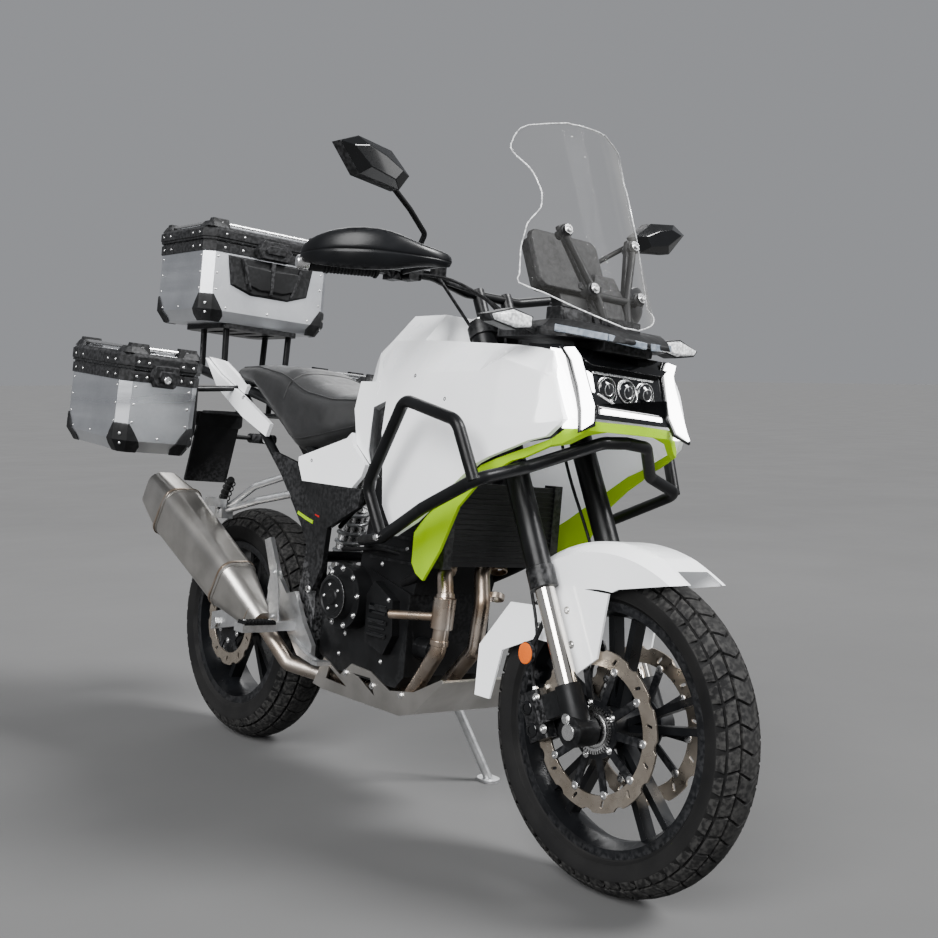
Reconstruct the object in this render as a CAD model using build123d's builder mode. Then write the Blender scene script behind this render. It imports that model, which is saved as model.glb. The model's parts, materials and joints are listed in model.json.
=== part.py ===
"""Adventure motorcycle with hard luggage, parked on its side stand.

Every piece is drawn upright: +X to the rider's left, +Y to the rear, +Z up, millimetres,
with the origin on the ground midway between the wheels. At the end all pieces lean
together about the tyre contact line until the side stand's foot reaches the floor.
"""
import math
import os

from build123d import *

# ---------------------------------------------------------------- driving dimensions
WHEELBASE = 1400.0
LEAN = 6.5                       # degrees to the left when parked
RAKE = 26.5                      # steering axis, degrees from vertical
FORK_OFFSET = 45.0               # fork legs ahead of the steering axis
FORK_SPREAD = 111.0              # leg centre to the middle plane
RUNNING = 0.05                   # radial play of an axle in its hub
SEAT_GAP = 0.3                   # play between pieces that rest on each other

# front wheel, 19 inch
FRONT_R = 330.0
FRONT_TYRE_HALF = 58.0
FRONT_BEAD_R = 239.0
FRONT_FLANGE_R = 251.0
FRONT_BEAD_HALF = 34.0
# rear wheel, 17 inch
REAR_R = 323.0
REAR_TYRE_HALF = 76.0
REAR_BEAD_R = 214.0
REAR_FLANGE_R = 226.0
REAR_BEAD_HALF = 58.0
FLANGE_T = 6.0
BARREL_T = 6.0
AXLE_R = 10.0
HUB_R = 42.0
FRONT_HUB_HALF = 62.0
REAR_HUB_HALF = 68.0

FRONT_DISC_R = 160.0
FRONT_DISC_X = 66.5
REAR_DISC_R = 120.0
REAR_DISC_X = 84.0
DISC_T = 5.0
DISC_BAND = 34.0
PETAL_R = 18.0                   # round cuts in the discs' edges
PETAL_DEEP = 6.0
VENT_LONG = 10.0
VENT_WIDE = 6.0
FRONT_PETALS = 12
REAR_PETALS = 10

FRONT_AXLE_Y = -WHEELBASE / 2
REAR_AXLE_Y = WHEELBASE / 2
CROWN_SHARE = 0.70               # height of the tread's arch over the tyre's half-width
TREAD_STRIPS = (30.0, 52.0)      # degrees round the arch, besides the line the bike leans on
FRONT_CROWN_R = (1 + CROWN_SHARE**2) * FRONT_TYRE_HALF / (2 * CROWN_SHARE)
REAR_CROWN_R = (1 + CROWN_SHARE**2) * REAR_TYRE_HALF / (2 * CROWN_SHARE)
LEAN_SIN = math.sin(math.radians(LEAN))
LEAN_COS = math.cos(math.radians(LEAN))
FRONT_AXLE_Z = FRONT_R
# both treads touch the floor once the bike leans about the front tread's centre of arch
REAR_AXLE_Z = REAR_R + (REAR_CROWN_R - FRONT_CROWN_R) * (1 - LEAN_COS)

# fork
OUTER_TUBE_R = 26.5
INNER_TUBE_R = 20.5
OUTER_TUBE_FROM = 292.0          # along the leg, from the axle
OUTER_TUBE_TO = 900.0
LOWER_CLAMP = 660.0
UPPER_CLAMP = 868.0
CLAMP_T = 36.0
CLAMP_WALL = 4.5
HEAD_TUBE_R = 31.0

# engine
ENGINE_HALF = 122.0
CLUTCH_Y = 61.0
CLUTCH_Z = 485.0
CLUTCH_R = 76.0
HEAD_COVER_HALF = 92.0
RIB_HALF = 121.0                 # cooling ribs stand this far out on the cylinders' sides

# side stand
STAND_PIVOT = (158.0, 20.0, 262.0)
STAND_TUBE_R = 11.0
STAND_FOOT_OUT = 262.0           # foot centre from the middle plane, body frame
STAND_FOOT_Y = -46.0

# luggage
CASE_WALL = 3.0
CASE_CHAMFER = 26.0
TOP_CASE_SIZE = (414.0, 300.0, 226.0)       # across, fore-aft, height of the tub
TOP_CASE_AT = (0.0, 935.0, 1163.0)
TOP_LID_H = 62.0
PANNIER_SIZE = (222.0, 345.0, 216.0)
PANNIER_AT = (378.0, 826.0, 790.0)
PANNIER_LID_H = 66.0
PANNIER_PITCH = 4.0
LID_GAP = 0.5
LID_OVERHANG = 5.0
KNUCKLE_R = 4.7
KNUCKLE_PLAY = 0.6
HINGE_PIN_R = 2.5
TUB_KNUCKLES = ((-46.0, -16.0), (16.0, 46.0))    # spans along the hinge line
LID_KNUCKLE = (-15.4, 15.4)
LEAF_TALL = 20.0
LEAF_T = 3.0
TUB_BEVEL_IN = 20.0              # the tubs' walls slope in towards their bottoms
TUB_BEVEL_UP = 30.0
TIE_RISE = 24.0                  # the holders of the tie bars stand this far above the lids
TIE_BAR_R = 4.5
HOLDER_LONG = 58.0
HOLDER_WIDE = 30.0

RAKE_SIN = math.sin(math.radians(RAKE))
RAKE_COS = math.cos(math.radians(RAKE))


def leg_point(along, ahead=0.0, across=0.0):
    """A point on the fork's leg line: along it from the axle, ahead of it, across the bike."""
    y = FRONT_AXLE_Y + along * RAKE_SIN - ahead * RAKE_COS
    z = FRONT_AXLE_Z + along * RAKE_COS + ahead * RAKE_SIN
    return (across, y, z)


def leg_plane(along, ahead=0.0, across=0.0):
    """Plane square to the fork legs. Its x is the bike's X, its y points forward."""
    return Plane(
        origin=leg_point(along, ahead, across),
        x_dir=(-1, 0, 0),
        z_dir=(0, RAKE_SIN, RAKE_COS),
    )


def tube(points, radius, bend):
    """A round bar along straight runs joined by arcs."""
    with BuildPart() as bar:
        with BuildLine() as path:
            if len(points) > 2:
                FilletPolyline(*points, radius=bend)
            else:
                Line(*points)
        with BuildSketch(Plane(origin=path.line @ 0, z_dir=path.line % 0)):
            Circle(radius)
        sweep(path=path.line)
    return bar.part


def side_plate(outline, x_from, x_to):
    """A plate whose outline is drawn in side view, as (y, z), between two X values."""
    with BuildPart() as plate:
        with BuildSketch(Plane.YZ.offset(x_from)):
            with BuildLine():
                Polyline(*outline, close=True)
            make_face()
        extrude(amount=x_to - x_from)
    return plate.part


def top_plate(outline, z_from, z_to):
    """A plate whose outline is drawn in top view, as (x, y), between two Z values."""
    with BuildPart() as plate:
        with BuildSketch(Plane.XY.offset(z_from)):
            with BuildLine():
                Polyline(*outline, close=True)
            make_face()
        extrude(amount=z_to - z_from)
    return plate.part


def front_plate(outline, y_from, y_to):
    """A plate whose outline is drawn in front view, as (x, z), between two Y values."""
    with BuildPart() as plate:
        with BuildSketch(Plane.XZ.offset(-y_from)):
            with BuildLine():
                Polyline(*outline, close=True)
            make_face()
        extrude(amount=-(y_to - y_from))
    return plate.part


def loft_stations(stations):
    """Flat-sided loft through cross-sections: (y, [(x, z), ...]) each."""
    with BuildPart() as body:
        for y, outline in stations:
            with BuildSketch(Plane.XZ.offset(-y)):
                with BuildLine():
                    Polyline(*outline, close=True)
                make_face()
        loft(ruled=True)
    return body.part


def both_sides(half):
    """The piece and its mirror image across the middle plane."""
    with BuildPart() as pair:
        add(half)
        mirror(about=Plane.YZ)
    return pair.part


def rod(start, end, radius):
    """A straight round bar between two points."""
    return tube([start, end], radius, 0)


pieces = {}                      # name of the piece: its solid, upright


# ---------------------------------------------------------------- wheels
def tyre(crown_r, half, bead_r, flange_r, bead_half):
    """A round-crowned tyre about the X axis, its arch laid in flat strips."""
    arch_r = (1 + CROWN_SHARE**2) * half / (2 * CROWN_SHARE)
    shoulder_r = crown_r - CROWN_SHARE * half
    bulge_r = (flange_r + shoulder_r) / 2 - 4
    arch = []
    for angle in (LEAN, *TREAD_STRIPS, math.degrees(math.asin(half / arch_r))):
        turn = math.radians(angle)
        arch.append((arch_r * math.sin(turn), crown_r - arch_r * (1 - math.cos(turn))))
    half_outline = [*arch, (0.96 * half, bulge_r), (bead_half, flange_r), (bead_half, bead_r)]
    with BuildPart() as ring:
        with BuildSketch(Plane.XZ):
            with BuildLine():
                Polyline(*half_outline, *[(-x, z) for x, z in reversed(half_outline)], close=True)
            make_face()
        revolve(axis=Axis.X)
    return ring.part


def rim(bead_r, flange_r, bead_half, hub_half, spoke_pairs, lean_out):
    """Barrel, flanges, hub and slim paired spokes about the X axis."""
    outer_half = bead_half + FLANGE_T
    inner_r = bead_r - BARREL_T
    with BuildPart() as wheel:
        with BuildSketch(Plane.XZ):
            with BuildLine():
                Polyline(
                    (-outer_half, flange_r),
                    (-bead_half, flange_r),
                    (-bead_half, bead_r),
                    (bead_half, bead_r),
                    (bead_half, flange_r),
                    (outer_half, flange_r),
                    (outer_half, inner_r),
                    (12, inner_r - 12),
                    (-12, inner_r - 12),
                    (-outer_half, inner_r),
                    close=True,
                )
            make_face()
        revolve(axis=Axis.X)
        with BuildSketch(Plane.YZ.offset(-hub_half)):
            Circle(HUB_R)
        extrude(amount=2 * hub_half)
        for index in range(spoke_pairs):
            for splay in (-8.0, 8.0):
                angle = index * 360.0 / spoke_pairs + splay
                with Locations(Rotation(angle, 0, 0)):
                    with Locations((0, 0, (inner_r - 10 + HUB_R - 6) / 2)):
                        Box(lean_out, 15, inner_r - 10 - HUB_R + 8)
        with BuildSketch(Plane.YZ.offset(-hub_half)):
            Circle(AXLE_R + RUNNING)
        extrude(amount=2 * hub_half, mode=Mode.SUBTRACT)
    return wheel.part


def disc(outer_r, band, x, petals):
    """A brake disc ring with a waved edge and vents about the X axis."""
    with BuildPart() as ring:
        with BuildSketch(Plane.YZ.offset(x - DISC_T / 2)):
            Circle(outer_r)
            Circle(outer_r - band, mode=Mode.SUBTRACT)
            with PolarLocations(outer_r + PETAL_R - PETAL_DEEP, petals):
                Circle(PETAL_R, mode=Mode.SUBTRACT)
            with PolarLocations(outer_r - band / 2, petals, start_angle=180 / petals):
                SlotCenterToCenter(VENT_LONG, VENT_WIDE, rotation=25, mode=Mode.SUBTRACT)
        extrude(amount=DISC_T)
    return ring.part


def carrier(outer_r, x, arms):
    """The disc's dark inner spider, from the hub's end out to the ring."""
    with BuildPart() as spider:
        with BuildSketch(Plane.YZ.offset(x - DISC_T / 2)):
            Circle(HUB_R + 16)
            for index in range(arms):
                with Locations(Rotation(0, 0, index * 360.0 / arms)):
                    with Locations((outer_r / 2, 0)):
                        Rectangle(outer_r, 16)
            Circle(outer_r, mode=Mode.INTERSECT)
            Circle(AXLE_R + 10, mode=Mode.SUBTRACT)
        extrude(amount=DISC_T)
    return spider.part


FRONT_WHEEL_AT = Pos(0, FRONT_AXLE_Y, FRONT_AXLE_Z)
REAR_WHEEL_AT = Pos(0, REAR_AXLE_Y, REAR_AXLE_Z)

pieces["front_tyre"] = FRONT_WHEEL_AT * tyre(
    FRONT_R, FRONT_TYRE_HALF, FRONT_BEAD_R, FRONT_FLANGE_R, FRONT_BEAD_HALF
)
pieces["rear_tyre"] = REAR_WHEEL_AT * tyre(
    REAR_R, REAR_TYRE_HALF, REAR_BEAD_R, REAR_FLANGE_R, REAR_BEAD_HALF
)

with BuildPart() as front_rim:
    add(rim(FRONT_BEAD_R, FRONT_FLANGE_R, FRONT_BEAD_HALF, FRONT_HUB_HALF, 5, 30))
    for side in (-1, 1):
        add(carrier(FRONT_DISC_R - DISC_BAND, side * FRONT_DISC_X, 10))
        with BuildSketch(Plane.YZ.offset(side * FRONT_HUB_HALF)):
            Circle(HUB_R)
            Circle(AXLE_R + 10, mode=Mode.SUBTRACT)
        extrude(amount=side * (FRONT_DISC_X - FRONT_HUB_HALF))
pieces["front_rim"] = FRONT_WHEEL_AT * front_rim.part

with BuildPart() as front_discs:
    for side in (-1, 1):
        add(disc(FRONT_DISC_R, DISC_BAND, side * FRONT_DISC_X, FRONT_PETALS))
pieces["front_discs"] = FRONT_WHEEL_AT * front_discs.part

with BuildPart() as rear_rim:
    add(rim(REAR_BEAD_R, REAR_FLANGE_R, REAR_BEAD_HALF, REAR_HUB_HALF, 5, 34))
    add(carrier(REAR_DISC_R - DISC_BAND, -REAR_DISC_X, 6))
    with BuildSketch(Plane.YZ.offset(-REAR_DISC_X)):
        Circle(HUB_R)
        Circle(AXLE_R + RUNNING, mode=Mode.SUBTRACT)
    extrude(amount=REAR_DISC_X - REAR_HUB_HALF)
pieces["rear_rim"] = REAR_WHEEL_AT * rear_rim.part
pieces["rear_disc"] = REAR_WHEEL_AT * disc(REAR_DISC_R, DISC_BAND, -REAR_DISC_X, REAR_PETALS)

SPROCKET_R = 98.0
CHAIN_X = 92.0
CHAIN_W = 14.0
SPROCKET_T = 6.0
with BuildPart() as rear_sprocket:
    with BuildSketch(Plane.YZ.offset(CHAIN_X - SPROCKET_T / 2)):
        Circle(SPROCKET_R - 12)
        Circle(HUB_R + 14, mode=Mode.SUBTRACT)
        with PolarLocations((SPROCKET_R + HUB_R) / 2 + 3, 6):
            Circle(6.5, mode=Mode.SUBTRACT)
    extrude(amount=SPROCKET_T)
    with BuildSketch(Plane.YZ.offset(REAR_HUB_HALF)):
        Circle(HUB_R + 18)
        Circle(AXLE_R + 12, mode=Mode.SUBTRACT)
    extrude(amount=CHAIN_X + SPROCKET_T / 2 - REAR_HUB_HALF)
pieces["rear_sprocket"] = REAR_WHEEL_AT * rear_sprocket.part

# ---------------------------------------------------------------- steering: axle, fork, bar
CLAMP_FOOT_R = 30.0
FOOT_TUBE_R = 27.0
FOOT_TOP = 92.0                  # where the black foot ends on the slider
FOOT_INNER_X = FORK_SPREAD - FOOT_TUBE_R
with BuildPart() as front_axle:
    with BuildSketch(Plane.YZ.offset(-FORK_SPREAD - 30)):
        with Locations((FRONT_AXLE_Y, FRONT_AXLE_Z)):
            Circle(AXLE_R)
    extrude(amount=2 * (FORK_SPREAD + 30))
    for side in (-1, 1):
        with BuildSketch(Plane.YZ.offset(side * (FRONT_DISC_X + 5))):
            with Locations((FRONT_AXLE_Y, FRONT_AXLE_Z)):
                Circle(AXLE_R + 7)
        extrude(amount=side * (FOOT_INNER_X - SEAT_GAP - FRONT_DISC_X - 5))
        with BuildSketch(Plane.YZ.offset(side * (FORK_SPREAD + FOOT_TUBE_R))):
            with Locations((FRONT_AXLE_Y, FRONT_AXLE_Z)):
                Circle(AXLE_R + 6)
        extrude(amount=side * 6)
pieces["front_axle"] = front_axle.part

with BuildPart() as fork_feet:
    for side in (-1, 1):
        across = side * FORK_SPREAD
        with BuildSketch(Plane.YZ.offset(across - FOOT_TUBE_R)):
            with Locations((FRONT_AXLE_Y, FRONT_AXLE_Z)):
                Circle(CLAMP_FOOT_R)
        extrude(amount=2 * FOOT_TUBE_R)
        with BuildSketch(leg_plane(0, 0, across)):
            Circle(FOOT_TUBE_R)
        extrude(amount=FOOT_TOP)
        # caliper lug behind the leg
        with BuildSketch(leg_plane(40, -38, across)):
            Rectangle(26, 60)
        extrude(amount=FOOT_TOP - 42)
    with BuildSketch(Plane.YZ.offset(-FORK_SPREAD - 30)):
        with Locations((FRONT_AXLE_Y, FRONT_AXLE_Z)):
            Circle(AXLE_R)
    extrude(amount=2 * (FORK_SPREAD + 30), mode=Mode.SUBTRACT)
pieces["fork_feet"] = fork_feet.part

with BuildPart() as fork_sliders:
    for side in (-1, 1):
        with BuildSketch(leg_plane(FOOT_TOP, 0, side * FORK_SPREAD)):
            Circle(INNER_TUBE_R)
        extrude(amount=OUTER_TUBE_FROM - FOOT_TOP)
pieces["fork_sliders"] = fork_sliders.part

with BuildPart() as fork_tubes:
    for side in (-1, 1):
        across = side * FORK_SPREAD
        with BuildSketch(leg_plane(OUTER_TUBE_FROM, 0, across)):
            Circle(OUTER_TUBE_R)
        extrude(amount=OUTER_TUBE_TO - OUTER_TUBE_FROM)
        with BuildSketch(leg_plane(OUTER_TUBE_FROM, 0, across)):
            Circle(OUTER_TUBE_R + 3)
        extrude(amount=44)
        with BuildSketch(leg_plane(OUTER_TUBE_TO, 0, across)):
            Circle(16)
        extrude(amount=6)
pieces["fork_tubes"] = fork_tubes.part

with BuildPart() as triple_clamps:
    for along in (LOWER_CLAMP, UPPER_CLAMP - 4):
        with BuildSketch(leg_plane(along)):
            for side in (-1, 1):
                with Locations((side * FORK_SPREAD, 0)):
                    Circle(OUTER_TUBE_R + CLAMP_WALL)
            with Locations((0, -FORK_OFFSET)):
                Circle(36)
            with BuildLine():
                Polyline(
                    (-FORK_SPREAD, 30),
                    (FORK_SPREAD, 30),
                    (FORK_SPREAD, -24),
                    (30, -FORK_OFFSET - 30),
                    (-30, -FORK_OFFSET - 30),
                    (-FORK_SPREAD, -24),
                    close=True,
                )
            make_face()
            for side in (-1, 1):
                with Locations((side * FORK_SPREAD, 0)):
                    Circle(OUTER_TUBE_R, mode=Mode.SUBTRACT)
        extrude(amount=CLAMP_T if along == LOWER_CLAMP else CLAMP_T - 10)
    # stem through the head tube
    with BuildSketch(leg_plane(LOWER_CLAMP, -FORK_OFFSET)):
        Circle(14)
    extrude(amount=UPPER_CLAMP - LOWER_CLAMP + 40)
pieces["triple_clamps"] = triple_clamps.part

BAR_R = 11.0
BAR_RISE = 140.0                 # bar's centre above the upper clamp, along the fork
BAR_CENTRE = leg_point(UPPER_CLAMP + BAR_RISE, -52)
GRIP_OUT = (-445.0, BAR_CENTRE[1] + 70, BAR_CENTRE[2] + 12)
PERCH_X = 277.0
LEVER_R = 5.5
LEVER_REACH = 54.0               # how far the levers stand ahead of the grips
bar_half = [
    (0, BAR_CENTRE[1], BAR_CENTRE[2]),
    (-80, BAR_CENTRE[1], BAR_CENTRE[2]),
    (-185, BAR_CENTRE[1] - 6, BAR_CENTRE[2] + 22),
    (-300, BAR_CENTRE[1] + 24, BAR_CENTRE[2] + 20),
    GRIP_OUT,
]
half_bar = tube(bar_half, BAR_R, 60)
with BuildPart() as handlebar:
    add(half_bar)
    mirror(about=Plane.YZ)
    for side in (-1, 1):
        with BuildSketch(leg_plane(UPPER_CLAMP + CLAMP_T - 14, -52, side * 42)):
            Circle(15)
        extrude(amount=BAR_RISE - CLAMP_T + 14 + 12)
    # lever perches with their switches, then the levers ahead of the grips
    for side in (-1, 1):
        with Locations((side * PERCH_X, BAR_CENTRE[1] + 15, BAR_CENTRE[2] + 20)):
            Box(26, 36, 40)
        lever_path = [
            (side * PERCH_X, BAR_CENTRE[1], BAR_CENTRE[2] + 20),
            (side * (PERCH_X + 20), BAR_CENTRE[1] - LEVER_REACH + 16, BAR_CENTRE[2] + 19),
            (side * 440, GRIP_OUT[1] - LEVER_REACH, GRIP_OUT[2]),
        ]
        add(tube(lever_path, LEVER_R, 20))
    # brake fluid pot beside the right perch
    pot = (-188, BAR_CENTRE[1] - 30, BAR_CENTRE[2] + 26)
    add(rod((pot[0], BAR_CENTRE[1] - 5, BAR_CENTRE[2] + 22), pot, 7))
    with BuildSketch(Plane.XY.offset(pot[2] - 9)):
        with Locations((pot[0], pot[1])):
            Circle(18)
    extrude(amount=34)
pieces["handlebar"] = handlebar.part

grip_start = tuple(a + (b - a) * 0.06 for a, b in zip(bar_half[3], GRIP_OUT))
grip_end = tuple(a + (b - a) * 1.06 for a, b in zip(bar_half[3], GRIP_OUT))
grip_half = rod(grip_start, grip_end, 17)
with BuildPart() as grips:
    add(grip_half)
    mirror(about=Plane.YZ)
    add(handlebar.part, mode=Mode.SUBTRACT)
pieces["grips"] = grips.part


# front calipers: they straddle the discs behind the legs
CALIPER_ALONG = 60.0
CALIPER_AHEAD = -128.0
DISC_SLOT = DISC_T / 2 + 5.2
with BuildPart() as front_calipers:
    for side in (-1, 1):
        with BuildSketch(leg_plane(CALIPER_ALONG - 48, CALIPER_AHEAD, side * (FRONT_DISC_X + 7))):
            RectangleRounded(58, 58, 10)
        extrude(amount=100)
        with BuildSketch(leg_plane(CALIPER_ALONG - 20, CALIPER_AHEAD + 42, side * (FORK_SPREAD - 9))):
            Rectangle(16, 40)
        extrude(amount=48)
        with BuildSketch(Plane.YZ.offset(side * FRONT_DISC_X - DISC_SLOT)):
            with Locations((FRONT_AXLE_Y, FRONT_AXLE_Z)):
                Circle(FRONT_DISC_R + 6)
        extrude(amount=2 * DISC_SLOT, mode=Mode.SUBTRACT)
    add(pieces["fork_feet"], mode=Mode.SUBTRACT)
pieces["front_calipers"] = front_calipers.part

# front fender: a saddle over the tyre with cheeks down inside the fork legs
FENDER_GAP = 40.0
FENDER_T = 5.0
FENDER_HALF = 80.0
FENDER_OUT = FRONT_R + FENDER_GAP
fender_cheek = [
    (-508, 652),
    (-520, 660),
    (-604, 690),
    (-700, 706),
    (-800, 692),
    (-890, 640),
    (-740, 612),
    (-716, 600),
    (-700, 470),
    (-628, 415),
    (-600, 420),
]
fender_tail = [
    (-640, 560),
    (-500, 548),
    (-440, 545),
    (-352, 440),
    (-350, 330),
    (-398, 330),
    (-425, 440),
    (-520, 480),
    (-640, 480),
]
with BuildPart() as front_fender:
    with BuildSketch(Plane.XZ):
        with BuildLine():
            Polyline(
                (-FENDER_HALF, FENDER_OUT - 95),
                (-FENDER_HALF, FENDER_OUT - 22),
                (-FENDER_HALF + 34, FENDER_OUT),
                (FENDER_HALF - 34, FENDER_OUT),
                (FENDER_HALF, FENDER_OUT - 22),
                (FENDER_HALF, FENDER_OUT - 95),
                (FENDER_HALF - FENDER_T, FENDER_OUT - 95),
                (FENDER_HALF - FENDER_T, FENDER_OUT - 24),
                (FENDER_HALF - 36, FENDER_OUT - FENDER_T),
                (-FENDER_HALF + 36, FENDER_OUT - FENDER_T),
                (-FENDER_HALF + FENDER_T, FENDER_OUT - 24),
                (-FENDER_HALF + FENDER_T, FENDER_OUT - 95),
                close=True,
            )
        make_face()
    revolve(axis=Axis.X, revolution_arc=360)
trim_top = side_plate(
    [(y - FRONT_AXLE_Y, z - FRONT_AXLE_Z) for y, z in fender_cheek[:8] + [(-540, 560)]],
    -FENDER_HALF - 1,
    FENDER_HALF + 1,
)
with BuildPart() as fender_top:
    add(front_fender.part)
    add(trim_top, mode=Mode.INTERSECT)
cheek = side_plate(fender_cheek[7:] + [fender_cheek[0], (-560, 600)], -FENDER_HALF, -FENDER_HALF + FENDER_T)
tail_cheek = side_plate(fender_tail, -FENDER_HALF, -FENDER_HALF + FENDER_T)
with BuildPart() as fender:
    add(Pos(0, FRONT_AXLE_Y, FRONT_AXLE_Z) * fender_top.part)
    add(both_sides(cheek))
    add(both_sides(tail_cheek))
    # bosses out to the collars of the fork tubes
    for side in (-1, 1):
        with BuildSketch(Plane.YZ.offset(side * (FENDER_HALF - 1))):
            with Locations(leg_point(OUTER_TUBE_FROM + 22)[1:]):
                Circle(11)
        extrude(amount=side * 14)
    add(fork_tubes.part, mode=Mode.SUBTRACT)
pieces["front_fender"] = fender.part

MIRROR_AT = (-428.0, -284.0, 1412.0)
mirror_shell = front_plate(
    [(-520, 1440), (-478, 1458), (-395, 1446), (-345, 1405), (-368, 1372), (-470, 1384)],
    MIRROR_AT[1] - 26,
    MIRROR_AT[1] + 4,
)
mirror_stalk = tube(
    [(-243, BAR_CENTRE[1] + 5, BAR_CENTRE[2] + 24), (-243, -246, 1310), (-300, -262, 1350), (-380, -275, 1400)],
    6,
    14,
)
with BuildPart() as mirror_half:
    add(mirror_shell)
    add(mirror_stalk)
    with BuildSketch(Plane.XZ.offset(-BAR_CENTRE[1] - 20)):
        with Locations((-243, BAR_CENTRE[2] + 18)):
            RectangleRounded(34, 30, 6)
    extrude(amount=42)
    add(handlebar.part, mode=Mode.SUBTRACT)
pieces["mirrors"] = both_sides(mirror_half.part)

guard_outline = [
    (-238, -338),
    (-250, -352),
    (-340, -312),
    (-440, -252),
    (-476, -205),
    (-478, -118),
    (-462, -118),
    (-462, -196),
    (-430, -238),
    (-335, -294),
    (-252, -330),
]
guard = top_plate(guard_outline, 1200, 1276)
guard_roof = top_plate(
    [(-262, -338), (-340, -304), (-440, -244), (-468, -200), (-470, -150), (-420, -195), (-330, -250)],
    1270,
    1282,
)
with BuildPart() as guard_half:
    add(guard)
    add(guard_roof)
    with BuildSketch(Plane.YZ.offset(-482)):
        with Locations((GRIP_OUT[1] + 6, GRIP_OUT[2])):
            Circle(14)
    extrude(amount=482 + grip_end[0] - SEAT_GAP)
    add(grips.part, mode=Mode.SUBTRACT)
pieces["handguards"] = both_sides(guard_half.part)

# ---------------------------------------------------------------- frame and engine
CROSS_TUBES = [(560, 948), (815, 1001)]          # y, z of the tubes between the seat rails
HEAD_FROM = LOWER_CLAMP + CLAMP_T + 1.0
HEAD_TO = UPPER_CLAMP - 4 - 1.0
SPAR_R = 17.0
spar = tube(
    [(-26, -298, 1006), (-96, -150, 880), (-100, 40, 830), (-112, 210, 740), (-118, 232, 600), (-118, 236, 400)],
    SPAR_R,
    60,
)
rail = tube([(-112, 205, 735), (-106, 330, 830), (-104, 560, 950), (-100, 980, 1036)], 14, 60)
stay = tube([(-118, 238, 560), (-122, 420, 760), (-100, 700, 960)], 12, 80)
pivot_plate = side_plate([(205, 600), (262, 590), (290, 430), (262, 330), (205, 330)], -140, -112)
with BuildPart() as main_frame:
    with BuildSketch(leg_plane(HEAD_FROM, -FORK_OFFSET)):
        Circle(HEAD_TUBE_R)
    extrude(amount=HEAD_TO - HEAD_FROM)
    add(both_sides(spar))
    add(both_sides(rail))
    add(both_sides(stay))
    add(both_sides(pivot_plate))
    with BuildSketch(Plane.YZ.offset(-118)):
        with Locations((250, 560), (250, 350)):
            Circle(14)
    extrude(amount=236)
    with BuildSketch(Plane.YZ.offset(-104)):
        with Locations(*CROSS_TUBES):
            Circle(10)
    extrude(amount=208)
    with BuildSketch(leg_plane(HEAD_FROM - 20, -FORK_OFFSET)):
        Circle(14.5)
    extrude(amount=HEAD_TO - HEAD_FROM + 40, mode=Mode.SUBTRACT)
pieces["main_frame"] = main_frame.part

crankcase = side_plate(
    [(-150, 330), (-120, 300), (140, 300), (196, 330), (196, 470), (150, 545), (20, 560), (-150, 520)],
    -ENGINE_HALF,
    ENGINE_HALF,
)
cylinders = side_plate([(-156, 520), (60, 555), (20, 770), (-170, 770), (-205, 700)], -118, 118)
with BuildPart() as engine:
    add(crankcase)
    add(cylinders)
    with BuildSketch(Plane.YZ.offset(-ENGINE_HALF)):
        with Locations((CLUTCH_Y, CLUTCH_Z)):
            Circle(CLUTCH_R)
    extrude(amount=-44)
    with BuildSketch(Plane.YZ.offset(-ENGINE_HALF - 44)):
        with Locations((CLUTCH_Y, CLUTCH_Z)):
            Circle(CLUTCH_R - 22)
    extrude(amount=-24, taper=18)
    with BuildSketch(Plane.YZ.offset(ENGINE_HALF)):
        with Locations((10, 455)):
            Circle(CLUTCH_R)
    extrude(amount=46)
    with BuildSketch(Plane.YZ.offset(ENGINE_HALF + 46)):
        with Locations((10, 455)):
            Circle(CLUTCH_R - 26)
    extrude(amount=6)
    # head cover, the ribs between head and cylinders, pump cover and oil filter
    add(side_plate([(-168, 768), (24, 768), (8, 796), (-146, 802)], -HEAD_COVER_HALF, HEAD_COVER_HALF))
    for z in (588, 616, 644, 672, 700):
        with Locations((0, -64, z)):
            Box(2 * RIB_HALF, 168, 7)
    add(side_plate(
        [(-20, 392), (-92, 372), (-122, 420), (-114, 500), (-40, 536), (-12, 500)],
        -ENGINE_HALF - 22,
        -ENGINE_HALF,
    ))
    for z in (415, 445, 475):
        with Locations((-ENGINE_HALF - 22, -66, z)):
            Box(8, 70, 9)
    add(rod((-78, -146, 398), (-78, -198, 398), 26))
    add(rod((-78, -198, 398), (-78, -206, 398), 19))
    for x in (-40, 44):
        with Locations((x, -186, 640)):
            Box(62, 30, 66)
    # recess for the front sprocket and chain on the left
    with BuildSketch(Plane.YZ.offset(CHAIN_X - CHAIN_W)):
        with Locations((196, 442)):
            Rectangle(150, 130)
    extrude(amount=60, mode=Mode.SUBTRACT)
    add(main_frame.part, mode=Mode.SUBTRACT)
pieces["engine"] = engine.part

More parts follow.
